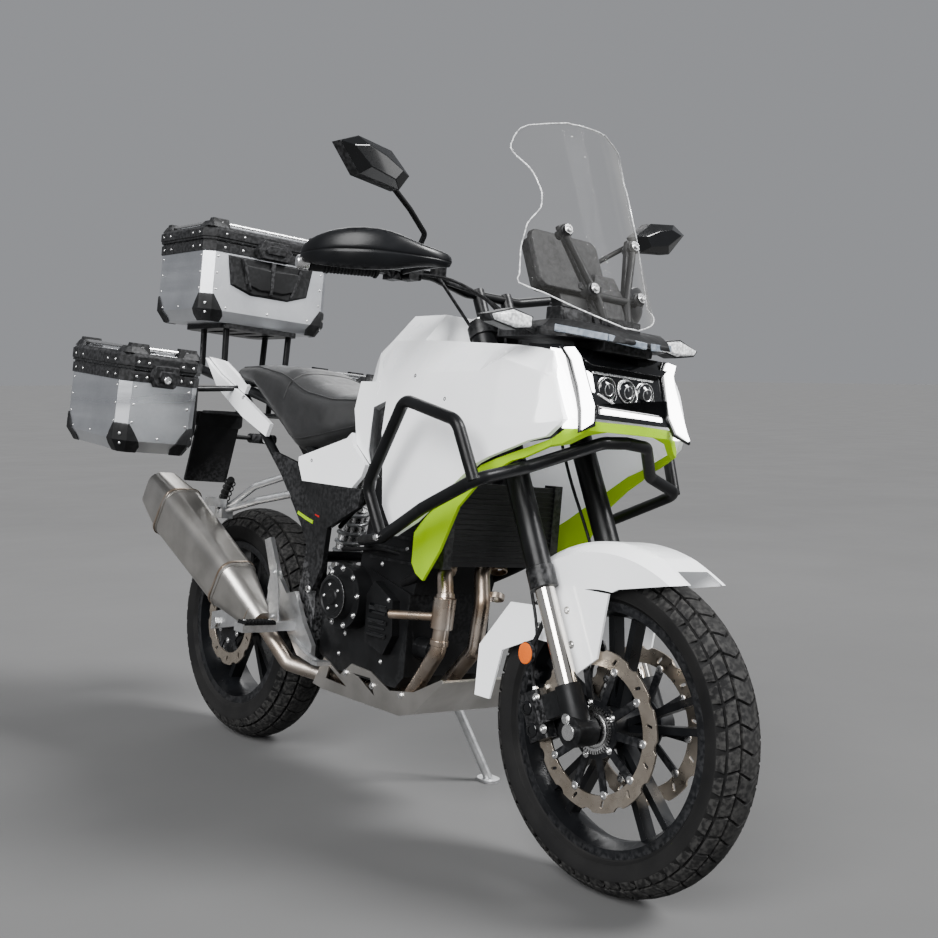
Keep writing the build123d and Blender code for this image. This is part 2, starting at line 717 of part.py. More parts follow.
# ---------------------------------------------------------------- swingarm, chain, shock, rear axle
PIVOT_Y = 252.0
PIVOT_Z = 425.0
ARM_X = 126.0
ARM_T = 24.0
PIVOT_TUBE_R = 21.0
arm = side_plate(
    [(PIVOT_Y - 4, PIVOT_Z + 36), (PIVOT_Y + 60, PIVOT_Z + 30), (REAR_AXLE_Y + 34, REAR_AXLE_Z + 24),
     (REAR_AXLE_Y + 34, REAR_AXLE_Z - 24), (PIVOT_Y + 60, PIVOT_Z - 36), (PIVOT_Y - 4, PIVOT_Z - 30)],
    -ARM_X,
    -ARM_X + ARM_T,
)
with BuildPart() as swingarm:
    with BuildSketch(Plane.YZ.offset(-108)):
        with Locations((PIVOT_Y, PIVOT_Z)):
            Circle(PIVOT_TUBE_R)
    extrude(amount=216)
    with BuildSketch(Plane.XY.offset(PIVOT_Z - 42)):
        with Locations((0, PIVOT_Y + 62)):
            Rectangle(2 * ARM_X - 10, 44)
    extrude(amount=56)
    add(both_sides(arm))
    with BuildSketch(Plane.YZ.offset(-ARM_X - 1)):
        with Locations((REAR_AXLE_Y, REAR_AXLE_Z)):
            Circle(AXLE_R)
    extrude(amount=2 * ARM_X + 2, mode=Mode.SUBTRACT)
    add(main_frame.part, mode=Mode.SUBTRACT)
pieces["swingarm"] = swingarm.part

with BuildPart() as rear_axle:
    with BuildSketch(Plane.YZ.offset(-ARM_X - 12)):
        with Locations((REAR_AXLE_Y, REAR_AXLE_Z)):
            Circle(AXLE_R)
    extrude(amount=2 * ARM_X + 24)
    for start, length in ((-ARM_X - 12, 12 - SEAT_GAP), (ARM_X + SEAT_GAP, 12 - SEAT_GAP)):
        with BuildSketch(Plane.YZ.offset(start)):
            with Locations((REAR_AXLE_Y, REAR_AXLE_Z)):
                RegularPolygon(AXLE_R + 6, 6)
        extrude(amount=length)
pieces["rear_axle"] = rear_axle.part


# rear caliper: it straddles the disc above the swingarm's right arm
CALIPER_IN = 66.0
rear_caliper_body = [(-98, 60), (-34, 60), (-34, 134), (-78, 134), (-98, 116)]
rear_caliper_plate = [(-102, 14), (-30, 14), (-30, 110), (-102, 110)]
with BuildPart() as rear_caliper:
    for outline, inner, outer in (
        (rear_caliper_body, CALIPER_IN, ARM_X - ARM_T - 4),
        (rear_caliper_plate, ARM_X - ARM_T - 5, ARM_X - ARM_T - SEAT_GAP),
    ):
        placed = [(REAR_AXLE_Y + y, REAR_AXLE_Z + z) for y, z in outline]
        add(side_plate(placed, -outer, -inner))
    with BuildSketch(Plane.YZ.offset(-REAR_DISC_X - DISC_SLOT)):
        with Locations((REAR_AXLE_Y, REAR_AXLE_Z)):
            Circle(REAR_DISC_R + 6)
    extrude(amount=2 * DISC_SLOT, mode=Mode.SUBTRACT)
pieces["rear_caliper"] = rear_caliper.part

# ---------------------------------------------------------------- chain and shock
FRONT_SPROCKET_Y = 168.0
FRONT_SPROCKET_Z = 442.0
FRONT_SPROCKET_R = 34.0
CHAIN_HALF = 6.0


def belt_outline(radius_add):
    """Side outline of a loop round both sprockets, grown by radius_add."""
    small = FRONT_SPROCKET_R + radius_add
    large = SPROCKET_R - 12 + CHAIN_HALF + radius_add
    dy = REAR_AXLE_Y - FRONT_SPROCKET_Y
    dz = REAR_AXLE_Z - FRONT_SPROCKET_Z
    span = math.hypot(dy, dz)
    slope = math.atan2(dz, dy)
    spread = math.acos((large - small) / span)
    front = Vector(FRONT_SPROCKET_Y, FRONT_SPROCKET_Z)
    rear = Vector(REAR_AXLE_Y, REAR_AXLE_Z)

    def on(centre, radius, angle):
        return centre + Vector(radius * math.cos(angle), radius * math.sin(angle))

    up = slope + math.pi - spread
    down = slope - math.pi + spread
    return (
        on(front, small, up), on(front, small, slope + math.pi), on(front, small, down),
        on(rear, large, down), on(rear, large, slope), on(rear, large, up),
    )


with BuildPart() as chain:
    for grow, keep in ((CHAIN_HALF, Mode.ADD), (-CHAIN_HALF + 0.3, Mode.SUBTRACT)):
        a, b, c, d, e, f = belt_outline(grow)
        with BuildSketch(Plane.YZ.offset(CHAIN_X - CHAIN_W / 2)):
            with BuildLine():
                ThreePointArc(a, b, c)
                Line(c, d)
                ThreePointArc(d, e, f)
                Line(f, a)
            make_face()
        extrude(amount=CHAIN_W, mode=keep)
with BuildPart() as front_sprocket:
    with BuildSketch(Plane.YZ.offset(CHAIN_X - 4)):
        with Locations((FRONT_SPROCKET_Y, FRONT_SPROCKET_Z)):
            Circle(FRONT_SPROCKET_R - CHAIN_HALF)
    extrude(amount=8)
    with BuildSketch(Plane.YZ.offset(CHAIN_X - CHAIN_W)):
        with Locations((FRONT_SPROCKET_Y, FRONT_SPROCKET_Z)):
            Circle(14)
    extrude(amount=CHAIN_W + 8)
with BuildPart() as drive_chain:
    add(chain.part)
    add(front_sprocket.part)
pieces["drive_chain"] = drive_chain.part

SHOCK_LOW = (0.0, 318.0, 441.0)
SHOCK_HIGH = (0.0, 236.0, 770.0)
SPRING_R = 32.0
SPRING_FROM = 0.22               # shares of the shock's length
SPRING_TO = 0.74
with BuildPart() as rear_shock:
    add(rod(SHOCK_LOW, SHOCK_HIGH, 16))
    low = Vector(*SHOCK_LOW)
    along = Vector(*SHOCK_HIGH) - low
    add(rod(tuple(low + along * SPRING_FROM), tuple(low + along * SPRING_TO), SPRING_R))
    with BuildSketch(Plane.YZ.offset(-100)):
        with Locations((SHOCK_HIGH[1], SHOCK_HIGH[2])):
            Circle(10)
    extrude(amount=200)
    add(pieces["swingarm"], mode=Mode.SUBTRACT)
    add(pieces["main_frame"], mode=Mode.SUBTRACT)
    add(pieces["engine"], mode=Mode.SUBTRACT)
pieces["rear_shock"] = rear_shock.part

# ---------------------------------------------------------------- exhaust
HEADER_R = 18.0
header_right = tube(
    [(-50, -196, 655), (-58, -232, 640), (-112, -254, 580), (-122, -276, 520), (-122, -264, 410),
     (-104, -160, 290), (-80, -60, 273), (-72, 60, 273)],
    HEADER_R,
    34,
)
header_left = tube(
    [(50, -196, 655), (42, -232, 640), (-4, -254, 580), (-14, -276, 520), (-14, -264, 410),
     (-20, -160, 290), (-50, -60, 273), (-72, 60, 273)],
    HEADER_R,
    34,
)
link_pipe = tube(
    [(-72, 58, 273), (-84, 150, 273), (-104, 210, 271), (-165, 262, 290), (-207, 332, 379)],
    HEADER_R + 2,
    22,
)
with BuildPart() as headers:
    add(header_right)
    add(header_left)
    add(link_pipe)
    # clamp and stub on the right header
    add(rod((-122, -274, 530), (-122, -269, 462), HEADER_R + 7))
    add(rod((-122, -262, 486), (-176, -150, 476), 10))
    add(pieces["engine"], mode=Mode.SUBTRACT)
    add(pieces["main_frame"], mode=Mode.SUBTRACT)
pieces["exhaust_headers"] = headers.part

SILENCER_FROM = Vector(-208.0, 334.0, 381.0)
SILENCER_TO = Vector(-246.0, 872.0, 676.0)
silencer_axis = (SILENCER_TO - SILENCER_FROM).normalized()
SILENCER_LENGTH = (SILENCER_TO - SILENCER_FROM).length


def silencer_plane(share):
    """Plane square to the silencer, its x outboard, at a share of its length."""
    return Plane(
        origin=SILENCER_FROM + silencer_axis * (share * SILENCER_LENGTH),
        x_dir=(-1, 0, 0),
        z_dir=silencer_axis,
    )


silencer_sections = [            # share of the length, across, tall, corner
    (0.0, 54, 62, 24),
    (0.26, 104, 132, 34),
    (0.82, 112, 146, 36),
    (1.0, 92, 112, 30),
]
silencer_bands = [(0.255, 104, 132, 34), (0.80, 112, 146, 36)]
with BuildPart() as silencer:
    for share, across, tall, corner in silencer_sections:
        with BuildSketch(silencer_plane(share)):
            RectangleRounded(across, tall, corner)
    loft(ruled=True)
    for share, across, tall, corner in silencer_bands:
        with BuildSketch(silencer_plane(share)):
            RectangleRounded(across + 4, tall + 4, corner + 2)
        extrude(amount=9)
    with BuildSketch(silencer_plane(1.0)):
        with Locations((0, 8)):
            Circle(26)
    extrude(amount=-70, mode=Mode.SUBTRACT)
    add(headers.part, mode=Mode.SUBTRACT)
pieces["silencer"] = silencer.part

# ---------------------------------------------------------------- radiator and skid plate
RADIATOR_HALF = 168.0
FIN_ROWS = 15
FIN_PITCH = 11.5
with BuildPart() as radiator:
    with BuildSketch(Plane.XZ.offset(308)):
        with Locations((0, 694)):
            Rectangle(2 * RADIATOR_HALF, 184)
    extrude(amount=-30)
    with BuildSketch(Plane.XZ.offset(314)):
        for x in (-RADIATOR_HALF + 10, RADIATOR_HALF - 10):
            with Locations((x, 694)):
                Rectangle(24, 196)
    extrude(amount=-36)
    for row in range(FIN_ROWS):
        with Locations((0, -309, 694 + (row - (FIN_ROWS - 1) / 2) * FIN_PITCH)):
            Box(2 * (RADIATOR_HALF - 22), 6, 3)
    # stays back to the cylinder head
    for side in (-1, 1):
        add(rod((side * 110, -285, 735), (side * 110, -180, 735), 8))
    add(engine.part, mode=Mode.SUBTRACT)
pieces["radiator"] = radiator.part

SKID_HALF = ENGINE_HALF + SEAT_GAP + 4.0
SKID_T = 4.0
SKID_Z = 243.0
skid_wall = [
    (205, SKID_Z + 6),
    (165, 322),
    (92, 292),
    (48, 326),
    (-30, 322),
    (-108, 292),
    (-196, 306),
    (-290, 352),
    (-296, 346),
    (-205, SKID_Z + 16),
    (-150, SKID_Z),
    (160, SKID_Z),
]
with BuildPart() as skid_plate:
    for side in (-1, 1):
        add(side_plate(skid_wall, side * SKID_HALF, side * (SKID_HALF - SKID_T)))
    add(top_plate([(-SKID_HALF, -150), (SKID_HALF, -150), (SKID_HALF, 160), (-SKID_HALF, 160)],
                  SKID_Z, SKID_Z + SKID_T))
    add(side_plate([(-150, SKID_Z), (-205, SKID_Z + 16), (-296, 346), (-290, 350), (-201, SKID_Z + 21),
                    (-150, SKID_Z + SKID_T)], -SKID_HALF, SKID_HALF))
    add(side_plate([(160, SKID_Z), (205, SKID_Z + 6), (205, SKID_Z + 10), (160, SKID_Z + SKID_T)],
                   -SKID_HALF, SKID_HALF))
    for window in ([(140, 302), (150, 272), (62, 268)], [(40, 305), (16, 300), (-52, 268), (-30, 306)]):
        add(side_plate(window, -SKID_HALF - 1, -SKID_HALF + SKID_T + 1), mode=Mode.SUBTRACT)
        add(side_plate(window, SKID_HALF - SKID_T - 1, SKID_HALF + 1), mode=Mode.SUBTRACT)
    add(headers.part, mode=Mode.SUBTRACT)
pieces["skid_plate"] = skid_plate.part

# ---------------------------------------------------------------- crash bars
CRASH_R = 13.0
CRASH_NOTCH_R = CRASH_R + 6.0     # the accent panel is notched where the bar passes under it
crash_low_path = [
    (-256, -202, 652), (-292, -380, 730), (-300, -545, 800), (-184, -564, 832), (-64, -652, 893), (0, -654, 897),
]
crash_low = tube(crash_low_path, CRASH_R, 34)
crash_notch = tube(crash_low_path, CRASH_NOTCH_R, 34)
crash_loop = tube(
    [(-256, -202, 652), (-268, -150, 760), (-300, -300, 950), (-312, -490, 912), (-298, -540, 798)],
    CRASH_R,
    38,
)
crash_stay = tube([(-256, -202, 652), (-190, -40, 630), (-118.5, 40, 626)], CRASH_R - 1, 40)
with BuildPart() as crash_half:
    add(crash_low)
    add(crash_loop)
    add(crash_stay)
    with Locations((-256, -202, 652)):
        Sphere(CRASH_R)
    add(pieces["engine"], mode=Mode.SUBTRACT)
pieces["crash_bars"] = both_sides(crash_half.part)

# ---------------------------------------------------------------- bodywork
FAIRING_IN = 152.0               # inner face beside the tank
FAIRING_FORK_IN = 158.0          # and beside the fork, clear of the clamps at full lock
tank_stations = [                # y, half outline (x, z) from the deck down
    (75, [(58, 1066), (106, 1052), (128, 950), (126, 905)]),
    (20, [(80, 1126), (138, 1068), (149, 950), (149, 905)]),
    (-40, [(92, 1160), (149, 1096), (150, 980), (150, 905)]),
    (-160, [(95, 1160), (149, 1095), (150, 980), (150, 905)]),
]
with BuildPart() as tank:
    add(loft_stations([(y, half + [(-x, z) for x, z in reversed(half)]) for y, half in tank_stations]))
    strip = side_plate([(75, 1000), (92, 933), (72, 850), (12, 806), (22, 838), (17, 943), (0, 1000)], 129, 149.5)
    add(both_sides(strip))
    add(main_frame.part, mode=Mode.SUBTRACT)
    add(triple_clamps.part, mode=Mode.SUBTRACT)
pieces["tank"] = tank.part

fairing_stations = [             # y, then half-width and height at crease, ridge, belt, hem
    (30, (139, 1066), (152.5, 1010), (165, 900), (175, 640)),
    (-55, (152.5, 1095), (178, 1020), (205, 880), (205, 640)),
    (-200, (161, 1093), (200, 1015), (222, 880), (215, 640)),
    (-430, (165, 1082), (215, 1020), (238, 880), (225, 640)),
    (-500, (168, 1078), (218, 1046), (236, 900), (225, 640)),
    (-600, (172, 1068), (200, 1020), (222, 915), (215, 640)),
    (-662, (165, 1066), (172, 1000), (178, 930), (180, 640)),
]
fairing_outline = [
    (16, 1066), (-88, 988), (-123, 808), (-134, 719), (-154, 694), (-189, 655), (-265, 693),
    (-469, 832), (-501, 846), (-629, 896), (-655, 931), (-601, 1065), (-457, 1090), (-55, 1100),
]


def fairing_loft(grow):
    with BuildPart() as body:
        for y, crease, ridge, belt, hem in fairing_stations:
            with BuildSketch(Plane.XZ.offset(-y)):
                with BuildLine():
                    Polyline(
                        (100, hem[1]), (100, crease[1] + grow), (crease[0] + grow, crease[1] + grow),
                        (ridge[0] + grow, ridge[1]), (belt[0] + grow, belt[1]), (hem[0] + grow, hem[1]),
                        close=True,
                    )
                make_face()
        loft(ruled=True)
    return body.part


FAIRING_T = 12.0
with BuildPart() as fairing_half:
    add(fairing_loft(0))
    add(side_plate(fairing_outline, 100, 260), mode=Mode.INTERSECT)
    add(fairing_loft(-FAIRING_T), mode=Mode.SUBTRACT)
    with BuildSketch(Plane.YZ.offset(99)):
        with Locations((-300, 850)):
            Rectangle(800, 600)
    extrude(amount=FAIRING_IN + SEAT_GAP - 99, mode=Mode.SUBTRACT)
    with BuildSketch(Plane.YZ.offset(99)):
        with Locations((-320, 850)):
            Rectangle(290, 600)
    extrude(amount=FAIRING_FORK_IN - 99, mode=Mode.SUBTRACT)
pieces["side_fairings"] = both_sides(fairing_half.part)

with BuildPart() as inserts_half:
    with BuildSketch(Plane.YZ.offset(150.3)):
        with BuildLine():
            Polyline((-92, 975), (14, 940), (19, 838), (4, 800), (-120, 728), (-128, 808), close=True)
        make_face()
    with BuildSketch(Plane.YZ.offset(188)):
        with BuildLine():
            Polyline((-96, 950), (-60, 930), (-60, 850), (-70, 800), (-121, 760), (-127, 808), close=True)
        make_face()
    loft(ruled=True)
    add(fairing_half.part, mode=Mode.SUBTRACT)

# yellow inner panels: one bent wall that runs from wing to wing under the headlight
accent_path = [(196, -236), (212, -300), (222, -470), (219, -512), (186, -630), (120, -664), (0, -684)]
ACCENT_T = 7.0
accent_outer = accent_path + [(-x, y) for x, y in reversed(accent_path[:-1])]
accent_inner = [(x - ACCENT_T if x > 0 else x + ACCENT_T if x < 0 else 0, y + (8 if abs(x) < 200 else 0))
                for x, y in accent_outer]
accent_side = [
    (-700, 934), (-652, 932), (-630, 892), (-505, 842), (-470, 828), (-266, 690), (-238, 668),
    (-238, 602), (-262, 582), (-300, 571), (-352, 640), (-404, 738), (-470, 796), (-545, 842),
    (-575, 852), (-640, 884), (-664, 914), (-700, 914),
]
with BuildPart() as accents:
    with BuildSketch(Plane.XY.offset(560)):
        with BuildLine():
            Polyline(*accent_outer, *reversed(accent_inner), close=True)
        make_face()
    extrude(amount=400)
    add(side_plate(accent_side, -260, 260), mode=Mode.INTERSECT)
    add(pieces["side_fairings"], mode=Mode.SUBTRACT)
    add(both_sides(crash_notch), mode=Mode.SUBTRACT)
pieces["accent_panels"] = accents.part

# ---------------------------------------------------------------- headlight, cowl, dash, screen
lamp_outline = [(-500, 940), (-640, 940), (-668, 938), (-620, 1062), (-600, 1080), (-500, 1084)]
LAMP_HALF = 149.0
LENS_X = 57.0
with BuildPart() as headlight:
    add(side_plate(lamp_outline, -LAMP_HALF, LAMP_HALF))
    for x in (-LENS_X, 0, LENS_X):
        with BuildSketch(Plane.XZ.offset(700)):
            with Locations((x, 1000)):
                Circle(25)
        extrude(amount=-76, mode=Mode.SUBTRACT)
    with BuildSketch(Plane.XZ.offset(700)):
        with Locations((0, 956)):
            Rectangle(190, 14)
    extrude(amount=-48, mode=Mode.SUBTRACT)
    add(accents.part, mode=Mode.SUBTRACT)
pieces["headlight"] = headlight.part
with BuildPart() as lamp_lenses:
    for x in (-LENS_X, 0, LENS_X):
        with BuildSketch(Plane.XZ.offset(624.0 + SEAT_GAP)):
            with Locations((x, 1000)):
                Circle(24)
        extrude(amount=12)

DRL_IN = LAMP_HALF + SEAT_GAP
drl = side_plate([(-588, 1072), (-604, 1070), (-666, 935), (-660, 916), (-640, 914), (-645, 935)], DRL_IN, 171)
with BuildPart() as drl_half:
    add(drl)
    add(fairing_half.part, mode=Mode.SUBTRACT)
    add(accents.part, mode=Mode.SUBTRACT)
with BuildPart() as lamps:
    add(lamp_lenses.part)
    add(both_sides(drl_half.part))
pieces["lamps"] = lamps.part

with BuildPart() as cowl:
    add(top_plate([(-166, -420), (-176, -560), (-150, -606), (-60, -632), (60, -632), (150, -606), (176, -560),
                   (166, -420)], 1097, 1116))
    add(top_plate([(-60, -540), (-72, -640), (72, -640), (60, -540)], 1076, 1097))
    add(headlight.part, mode=Mode.SUBTRACT)
pieces["cowl"] = cowl.part

SCREEN_TILT = 21.5
SCREEN_R = 240.0
SCREEN_T = 4.0
tilt_sin = math.sin(math.radians(SCREEN_TILT))
tilt_cos = math.cos(math.radians(SCREEN_TILT))
SCREEN_FOOT = Vector(0, -637.0, 1133.0)
SCREEN_UP = Vector(0, tilt_sin, tilt_cos)
SCREEN_FRONT = Vector(0, -tilt_cos, tilt_sin)
screen_outline_half = [          # half-width, height in front view
    (0, 1128), (70, 1140), (130, 1164), (194, 1200), (183, 1278), (168, 1328), (141, 1366), (137, 1400),
    (146, 1444), (174, 1482), (163, 1520), (132, 1547), (60, 1560), (0, 1562),
]
with BuildPart() as windscreen:
    with BuildSketch(Plane(origin=SCREEN_FOOT - SCREEN_UP * 60, x_dir=(1, 0, 0), z_dir=SCREEN_UP)):
        with Locations((0, SCREEN_R)):
            Circle(SCREEN_R)
            Circle(SCREEN_R - SCREEN_T, mode=Mode.SUBTRACT)
        with Locations((0, 60)):
            Rectangle(400, 120, mode=Mode.INTERSECT)
    extrude(amount=600)
    with BuildSketch(Plane.XZ.offset(800)):
        with BuildLine():
            outline = screen_outline_half + [(-x, z) for x, z in reversed(screen_outline_half[1:-1])]
            Polyline(*outline, close=True)
        make_face()
    extrude(amount=-600, mode=Mode.INTERSECT)
pieces["windscreen"] = windscreen.part

UPPER_SCREW = (101.0, 204.0)     # half-width, height up the screen from its foot
LOWER_SCREW = (70.0, 76.0)


def screen_depth(x):
    """How far the screen's inside face lies behind its front line at half-width x."""
    inner = SCREEN_R - SCREEN_T
    return SCREEN_R - math.sqrt(inner**2 - x**2)


bracket_back = screen_depth(UPPER_SCREW[0]) + SEAT_GAP
with BuildPart() as screen_bracket:
    for side in (-1, 1):
        base = SCREEN_FOOT - SCREEN_FRONT * (bracket_back + 6)
        foot = base + Vector(side * 30, 0, 0) + SCREEN_UP * -2
        middle = base + Vector(side * 45, 0, 0) + SCREEN_UP * LOWER_SCREW[1]
        top = base + Vector(side * UPPER_SCREW[0], 0, 0) + SCREEN_UP * UPPER_SCREW[1]
        add(rod(tuple(foot), tuple(middle), 9))
        add(rod(tuple(middle), tuple(top), 8))
        add(rod(tuple(middle), tuple(base + SCREEN_UP * LOWER_SCREW[1]), 9))
        for half_width, up in (UPPER_SCREW, LOWER_SCREW):
            pin_from = base + Vector(side * half_width, 0, 0) + SCREEN_UP * up
            reach = bracket_back + 6 - screen_depth(half_width) - SEAT_GAP
            add(rod(tuple(pin_from), tuple(pin_from + SCREEN_FRONT * reach), 7))
        add(rod(tuple(middle), tuple(base + Vector(side * LOWER_SCREW[0], 0, 0) + SCREEN_UP * LOWER_SCREW[1]), 8))
    add(rod(tuple(base + Vector(-34, 0, 0)), tuple(base + Vector(34, 0, 0)), 9))
    with BuildSketch(Plane.XY.offset(1116)):
        with Locations((0, base.Y - 6)):
            Rectangle(90, 24)
    extrude(amount=30)
    add(windscreen.part, mode=Mode.SUBTRACT)
    add(cowl.part, mode=Mode.SUBTRACT)
pieces["screen_bracket"] = screen_bracket.part

DASH_TILT = 24.0
dash_plane = Plane(
    origin=(0, -452, 1160),
    x_dir=(1, 0, 0),
    z_dir=(0, -math.cos(math.radians(DASH_TILT)), math.sin(math.radians(DASH_TILT))),
)
with BuildPart() as dash:
    with BuildSketch(dash_plane):
        with Locations((0, 108)):
            RectangleRounded(188, 124, 16)
        with Locations((0, 20)):
            Rectangle(80, 140)
    extrude(amount=30)
    with BuildSketch(Plane.XY.offset(1116)):
        with Locations((0, -458)):
            Rectangle(96, 44)
    extrude(amount=60)
    with BuildSketch(Plane.XY.offset(1050)):
        with Locations((0, -458)):
            Rectangle(400, 400)
    extrude(amount=66, mode=Mode.SUBTRACT)
pieces["dash"] = dash.part


with BuildPart() as turn_signals:
    for side in (-1, 1):
        with BuildSketch(Plane.XZ.offset(540 + 18)):
            with BuildLine():
                Polyline((side * 196, 1106), (side * 196, 1130), (side * 250, 1140), (side * 312, 1121),
                         (side * 300, 1108), (side * 240, 1098), close=True)
            make_face()
        extrude(amount=-34)
        add(rod((side * 172, -540, 1108), (side * 198, -540, 1116), 9))
    add(cowl.part, mode=Mode.SUBTRACT)
pieces["turn_signals"] = turn_signals.part

# ---------------------------------------------------------------- seat and tail
FENDER_PLATE_Z = 905.0           # underside of the rear fender's plate under the seat
FENDER_PLATE_T = 8.0
POST_R = 8.0
fender_posts = [                 # foot on the plate and head in a cross tube
    ((side * 50, y, FENDER_PLATE_Z + 2), (side * 50, y, cross_z))
    for y, cross_z in CROSS_TUBES for side in (-1, 1)
]
seat_stations = [                # y, half-width top and bottom, top height, bottom height
    (94, 62, 84, 985, 900),
    (150, 84, 112, 976, 876),
    (250, 118, 146, 978, 842),
    (360, 132, 156, 1004, 812),
    (470, 126, 146, 1042, 880),
    (620, 116, 130, 1050, 985),
    (766, 96, 108, 1047, 1000),
]
with BuildPart() as seat:
    for y, top_half, low_half, top_z, low_z in seat_stations:
        with BuildSketch(Plane.XZ.offset(-y)):
            with BuildLine():
                Polyline(
                    (-low_half, low_z), (-low_half, top_z - 34), (-top_half, top_z - 8), (-top_half + 30, top_z),
                    (top_half - 30, top_z), (top_half, top_z - 8), (low_half, top_z - 34), (low_half, low_z),
                    close=True,
                )
            make_face()
    loft(ruled=True)
    with BuildSketch(Plane.XY.offset(780)):
        with Locations((0, 325)):
            Rectangle(236, 570)
    extrude(amount=FENDER_PLATE_Z + 13 - 780, mode=Mode.SUBTRACT)
    add(main_frame.part, mode=Mode.SUBTRACT)
    add(tank.part, mode=Mode.SUBTRACT)
    for post_foot, post_head in fender_posts:
        add(rod(post_foot, post_head, POST_R + SEAT_GAP), mode=Mode.SUBTRACT)
pieces["seat"] = seat.part

SIDE_IN = 131.0
side_panel = side_plate(
    [(78, 876), (96, 862), (300, 806), (300, 790), (276, 747), (60, 745), (24, 775), (12, 803), (70, 848)],
    SIDE_IN + 19,
    SIDE_IN + 31,
)
with BuildPart() as side_panels_half:
    add(side_panel)
    add(fairing_half.part, mode=Mode.SUBTRACT)
    add(seat.part, mode=Mode.SUBTRACT)
    add(tank.part, mode=Mode.SUBTRACT)
    add(inserts_half.part, mode=Mode.SUBTRACT)

side_cover = side_plate(
    [(60, 744), (276, 746), (301, 788), (420, 812), (425, 798), (300, 680), (240, 600), (196, 480),
     (160, 545), (150, 640), (30, 700), (22, 745)],
    SIDE_IN + 15,
    SIDE_IN + 29,
)
with BuildPart() as side_covers_half:
    add(side_cover)
    add(side_panels_half.part, mode=Mode.SUBTRACT)
    add(seat.part, mode=Mode.SUBTRACT)
    add(inserts_half.part, mode=Mode.SUBTRACT)
    add(fairing_half.part, mode=Mode.SUBTRACT)
    add(main_frame.part, mode=Mode.SUBTRACT)
with BuildPart() as dark_covers_half:
    add(side_covers_half.part)
    add(inserts_half.part)
pieces["side_covers"] = both_sides(dark_covers_half.part)

tail_upper = side_plate([(872, 1066), (780, 1052), (642, 984), (655, 962), (790, 1018)], 116, 128)
tail_lower = side_plate([(870, 1062), (786, 1015), (640, 955), (488, 884), (505, 850), (640, 900), (790, 978)],
                        128.3, 140)
PANNIER_INNER_X = PANNIER_AT[0] - PANNIER_SIZE[0] / 2
RACK_R = 8.0
RACK_X = PANNIER_INNER_X - RACK_R - SEAT_GAP
RACK_STUBS = [                   # y, height on the rack's loop, then the frame rail's x and z there
    (700, 962, 102.7, 978.7),
    (950, 972, 100.3, 1030.0),
]
rack_stub_ends = [((rail_x, y, rail_z), (RACK_X, y, z)) for y, z, rail_x, rail_z in RACK_STUBS]
with BuildPart() as tail_half:
    add(tail_upper)
    add(tail_lower)
    add(seat.part, mode=Mode.SUBTRACT)
    add(main_frame.part, mode=Mode.SUBTRACT)
    for start, end in rack_stub_ends:
        add(rod(start, end, RACK_R + 2), mode=Mode.SUBTRACT)
with BuildPart() as white_half:
    add(side_panels_half.part)
    add(tail_half.part)
pieces["side_panels"] = both_sides(white_half.part)

with BuildPart() as rear_fender:
    add(top_plate([(-84, 400), (84, 400), (84, 900), (60, 1010), (-60, 1010), (-84, 900)],
                  FENDER_PLATE_Z, FENDER_PLATE_Z + FENDER_PLATE_T))
    add(side_plate([(1002, 905), (1012, 905), (1075, 700), (1065, 697)], -70, 70))
    with BuildSketch(Plane.XZ.offset(-1012)):
        with Locations((0, 888)):
            RectangleRounded(160, 44, 12)
    extrude(amount=-22)
    for side in (-1, 1):
        add(rod((side * 60, 1030, 842), (side * 150, 1040, 842), 7))
        with BuildSketch(Plane.XZ.offset(-1024)):
            with Locations((side * 170, 842)):
                RectangleRounded(90, 30, 12)
        extrude(amount=-30)
    # posts up to the frame's cross tubes
    for post_foot, post_head in fender_posts:
        add(rod(post_foot, post_head, POST_R))
    add(main_frame.part, mode=Mode.SUBTRACT)
    add(pieces["rear_shock"], mode=Mode.SUBTRACT)
pieces["rear_fender"] = rear_fender.part

# ---------------------------------------------------------------- pegs
peg_plate = side_plate(
    [(425, 582), (398, 592), (345, 500), (300, 460), (262, 470), (215, 400), (168, 350), (168, 306), (230, 316),
     (290, 372), (350, 420), (372, 470)],
    -164,
    -152,
)
with BuildPart() as rider_pegs_half:
    add(peg_plate)
    with Locations((-195, 262, 384)):
        Box(70, 30, 20)
    with Locations((-266, 266, 382)):
        Box(96, 42, 20)
    # foot lever forward of the peg, with its toe pad
    add(tube([(-160, 268, 358), (-174, 180, 332), (-182, 96, 320)], LEVER_R, 20))
    with Locations((-186, 92, 322)):
        Box(38, 28, 9)
    # spacers back to the frame's pivot plate
    for y, z in ((262, 430), (230, 372)):
        add(rod((-152, y, z), (-140.3, y, z), 12))
    add(side_covers_half.part.mirror(Plane.YZ), mode=Mode.SUBTRACT)

with BuildPart() as passenger_half:
    add(tube([(-126, 350, 712), (-160, 480, 680), (-178, 624, 640)], 10, 60))
    add(tube([(-126, 372, 760), (-162, 500, 716), (-178, 624, 640)], 9, 60))
    with Locations((-178, 624, 640)):
        Box(34, 40, 40)
    with BuildSketch(Plane.YZ.offset(-193)):
        with Locations((628, 662)):
            Rectangle(84, 22)
    extrude(amount=-18)
    add(main_frame.part, mode=Mode.SUBTRACT)
    add(silencer.part, mode=Mode.SUBTRACT)
with BuildPart() as pegs_half:
    add(rider_pegs_half.part)
    add(passenger_half.part)
pieces["foot_pegs"] = both_sides(pegs_half.part)

# ---------------------------------------------------------------- luggage racks
with BuildPart() as rack_half:
    add(tube([(RACK_X, 690, 960), (RACK_X, 690, 830), (RACK_X, 960, 850), (RACK_X, 960, 975), (RACK_X, 700, 965)],
             RACK_R, 22))
    for start, end in rack_stub_ends:
        add(rod(start, end, RACK_R))
    add(main_frame.part, mode=Mode.SUBTRACT)

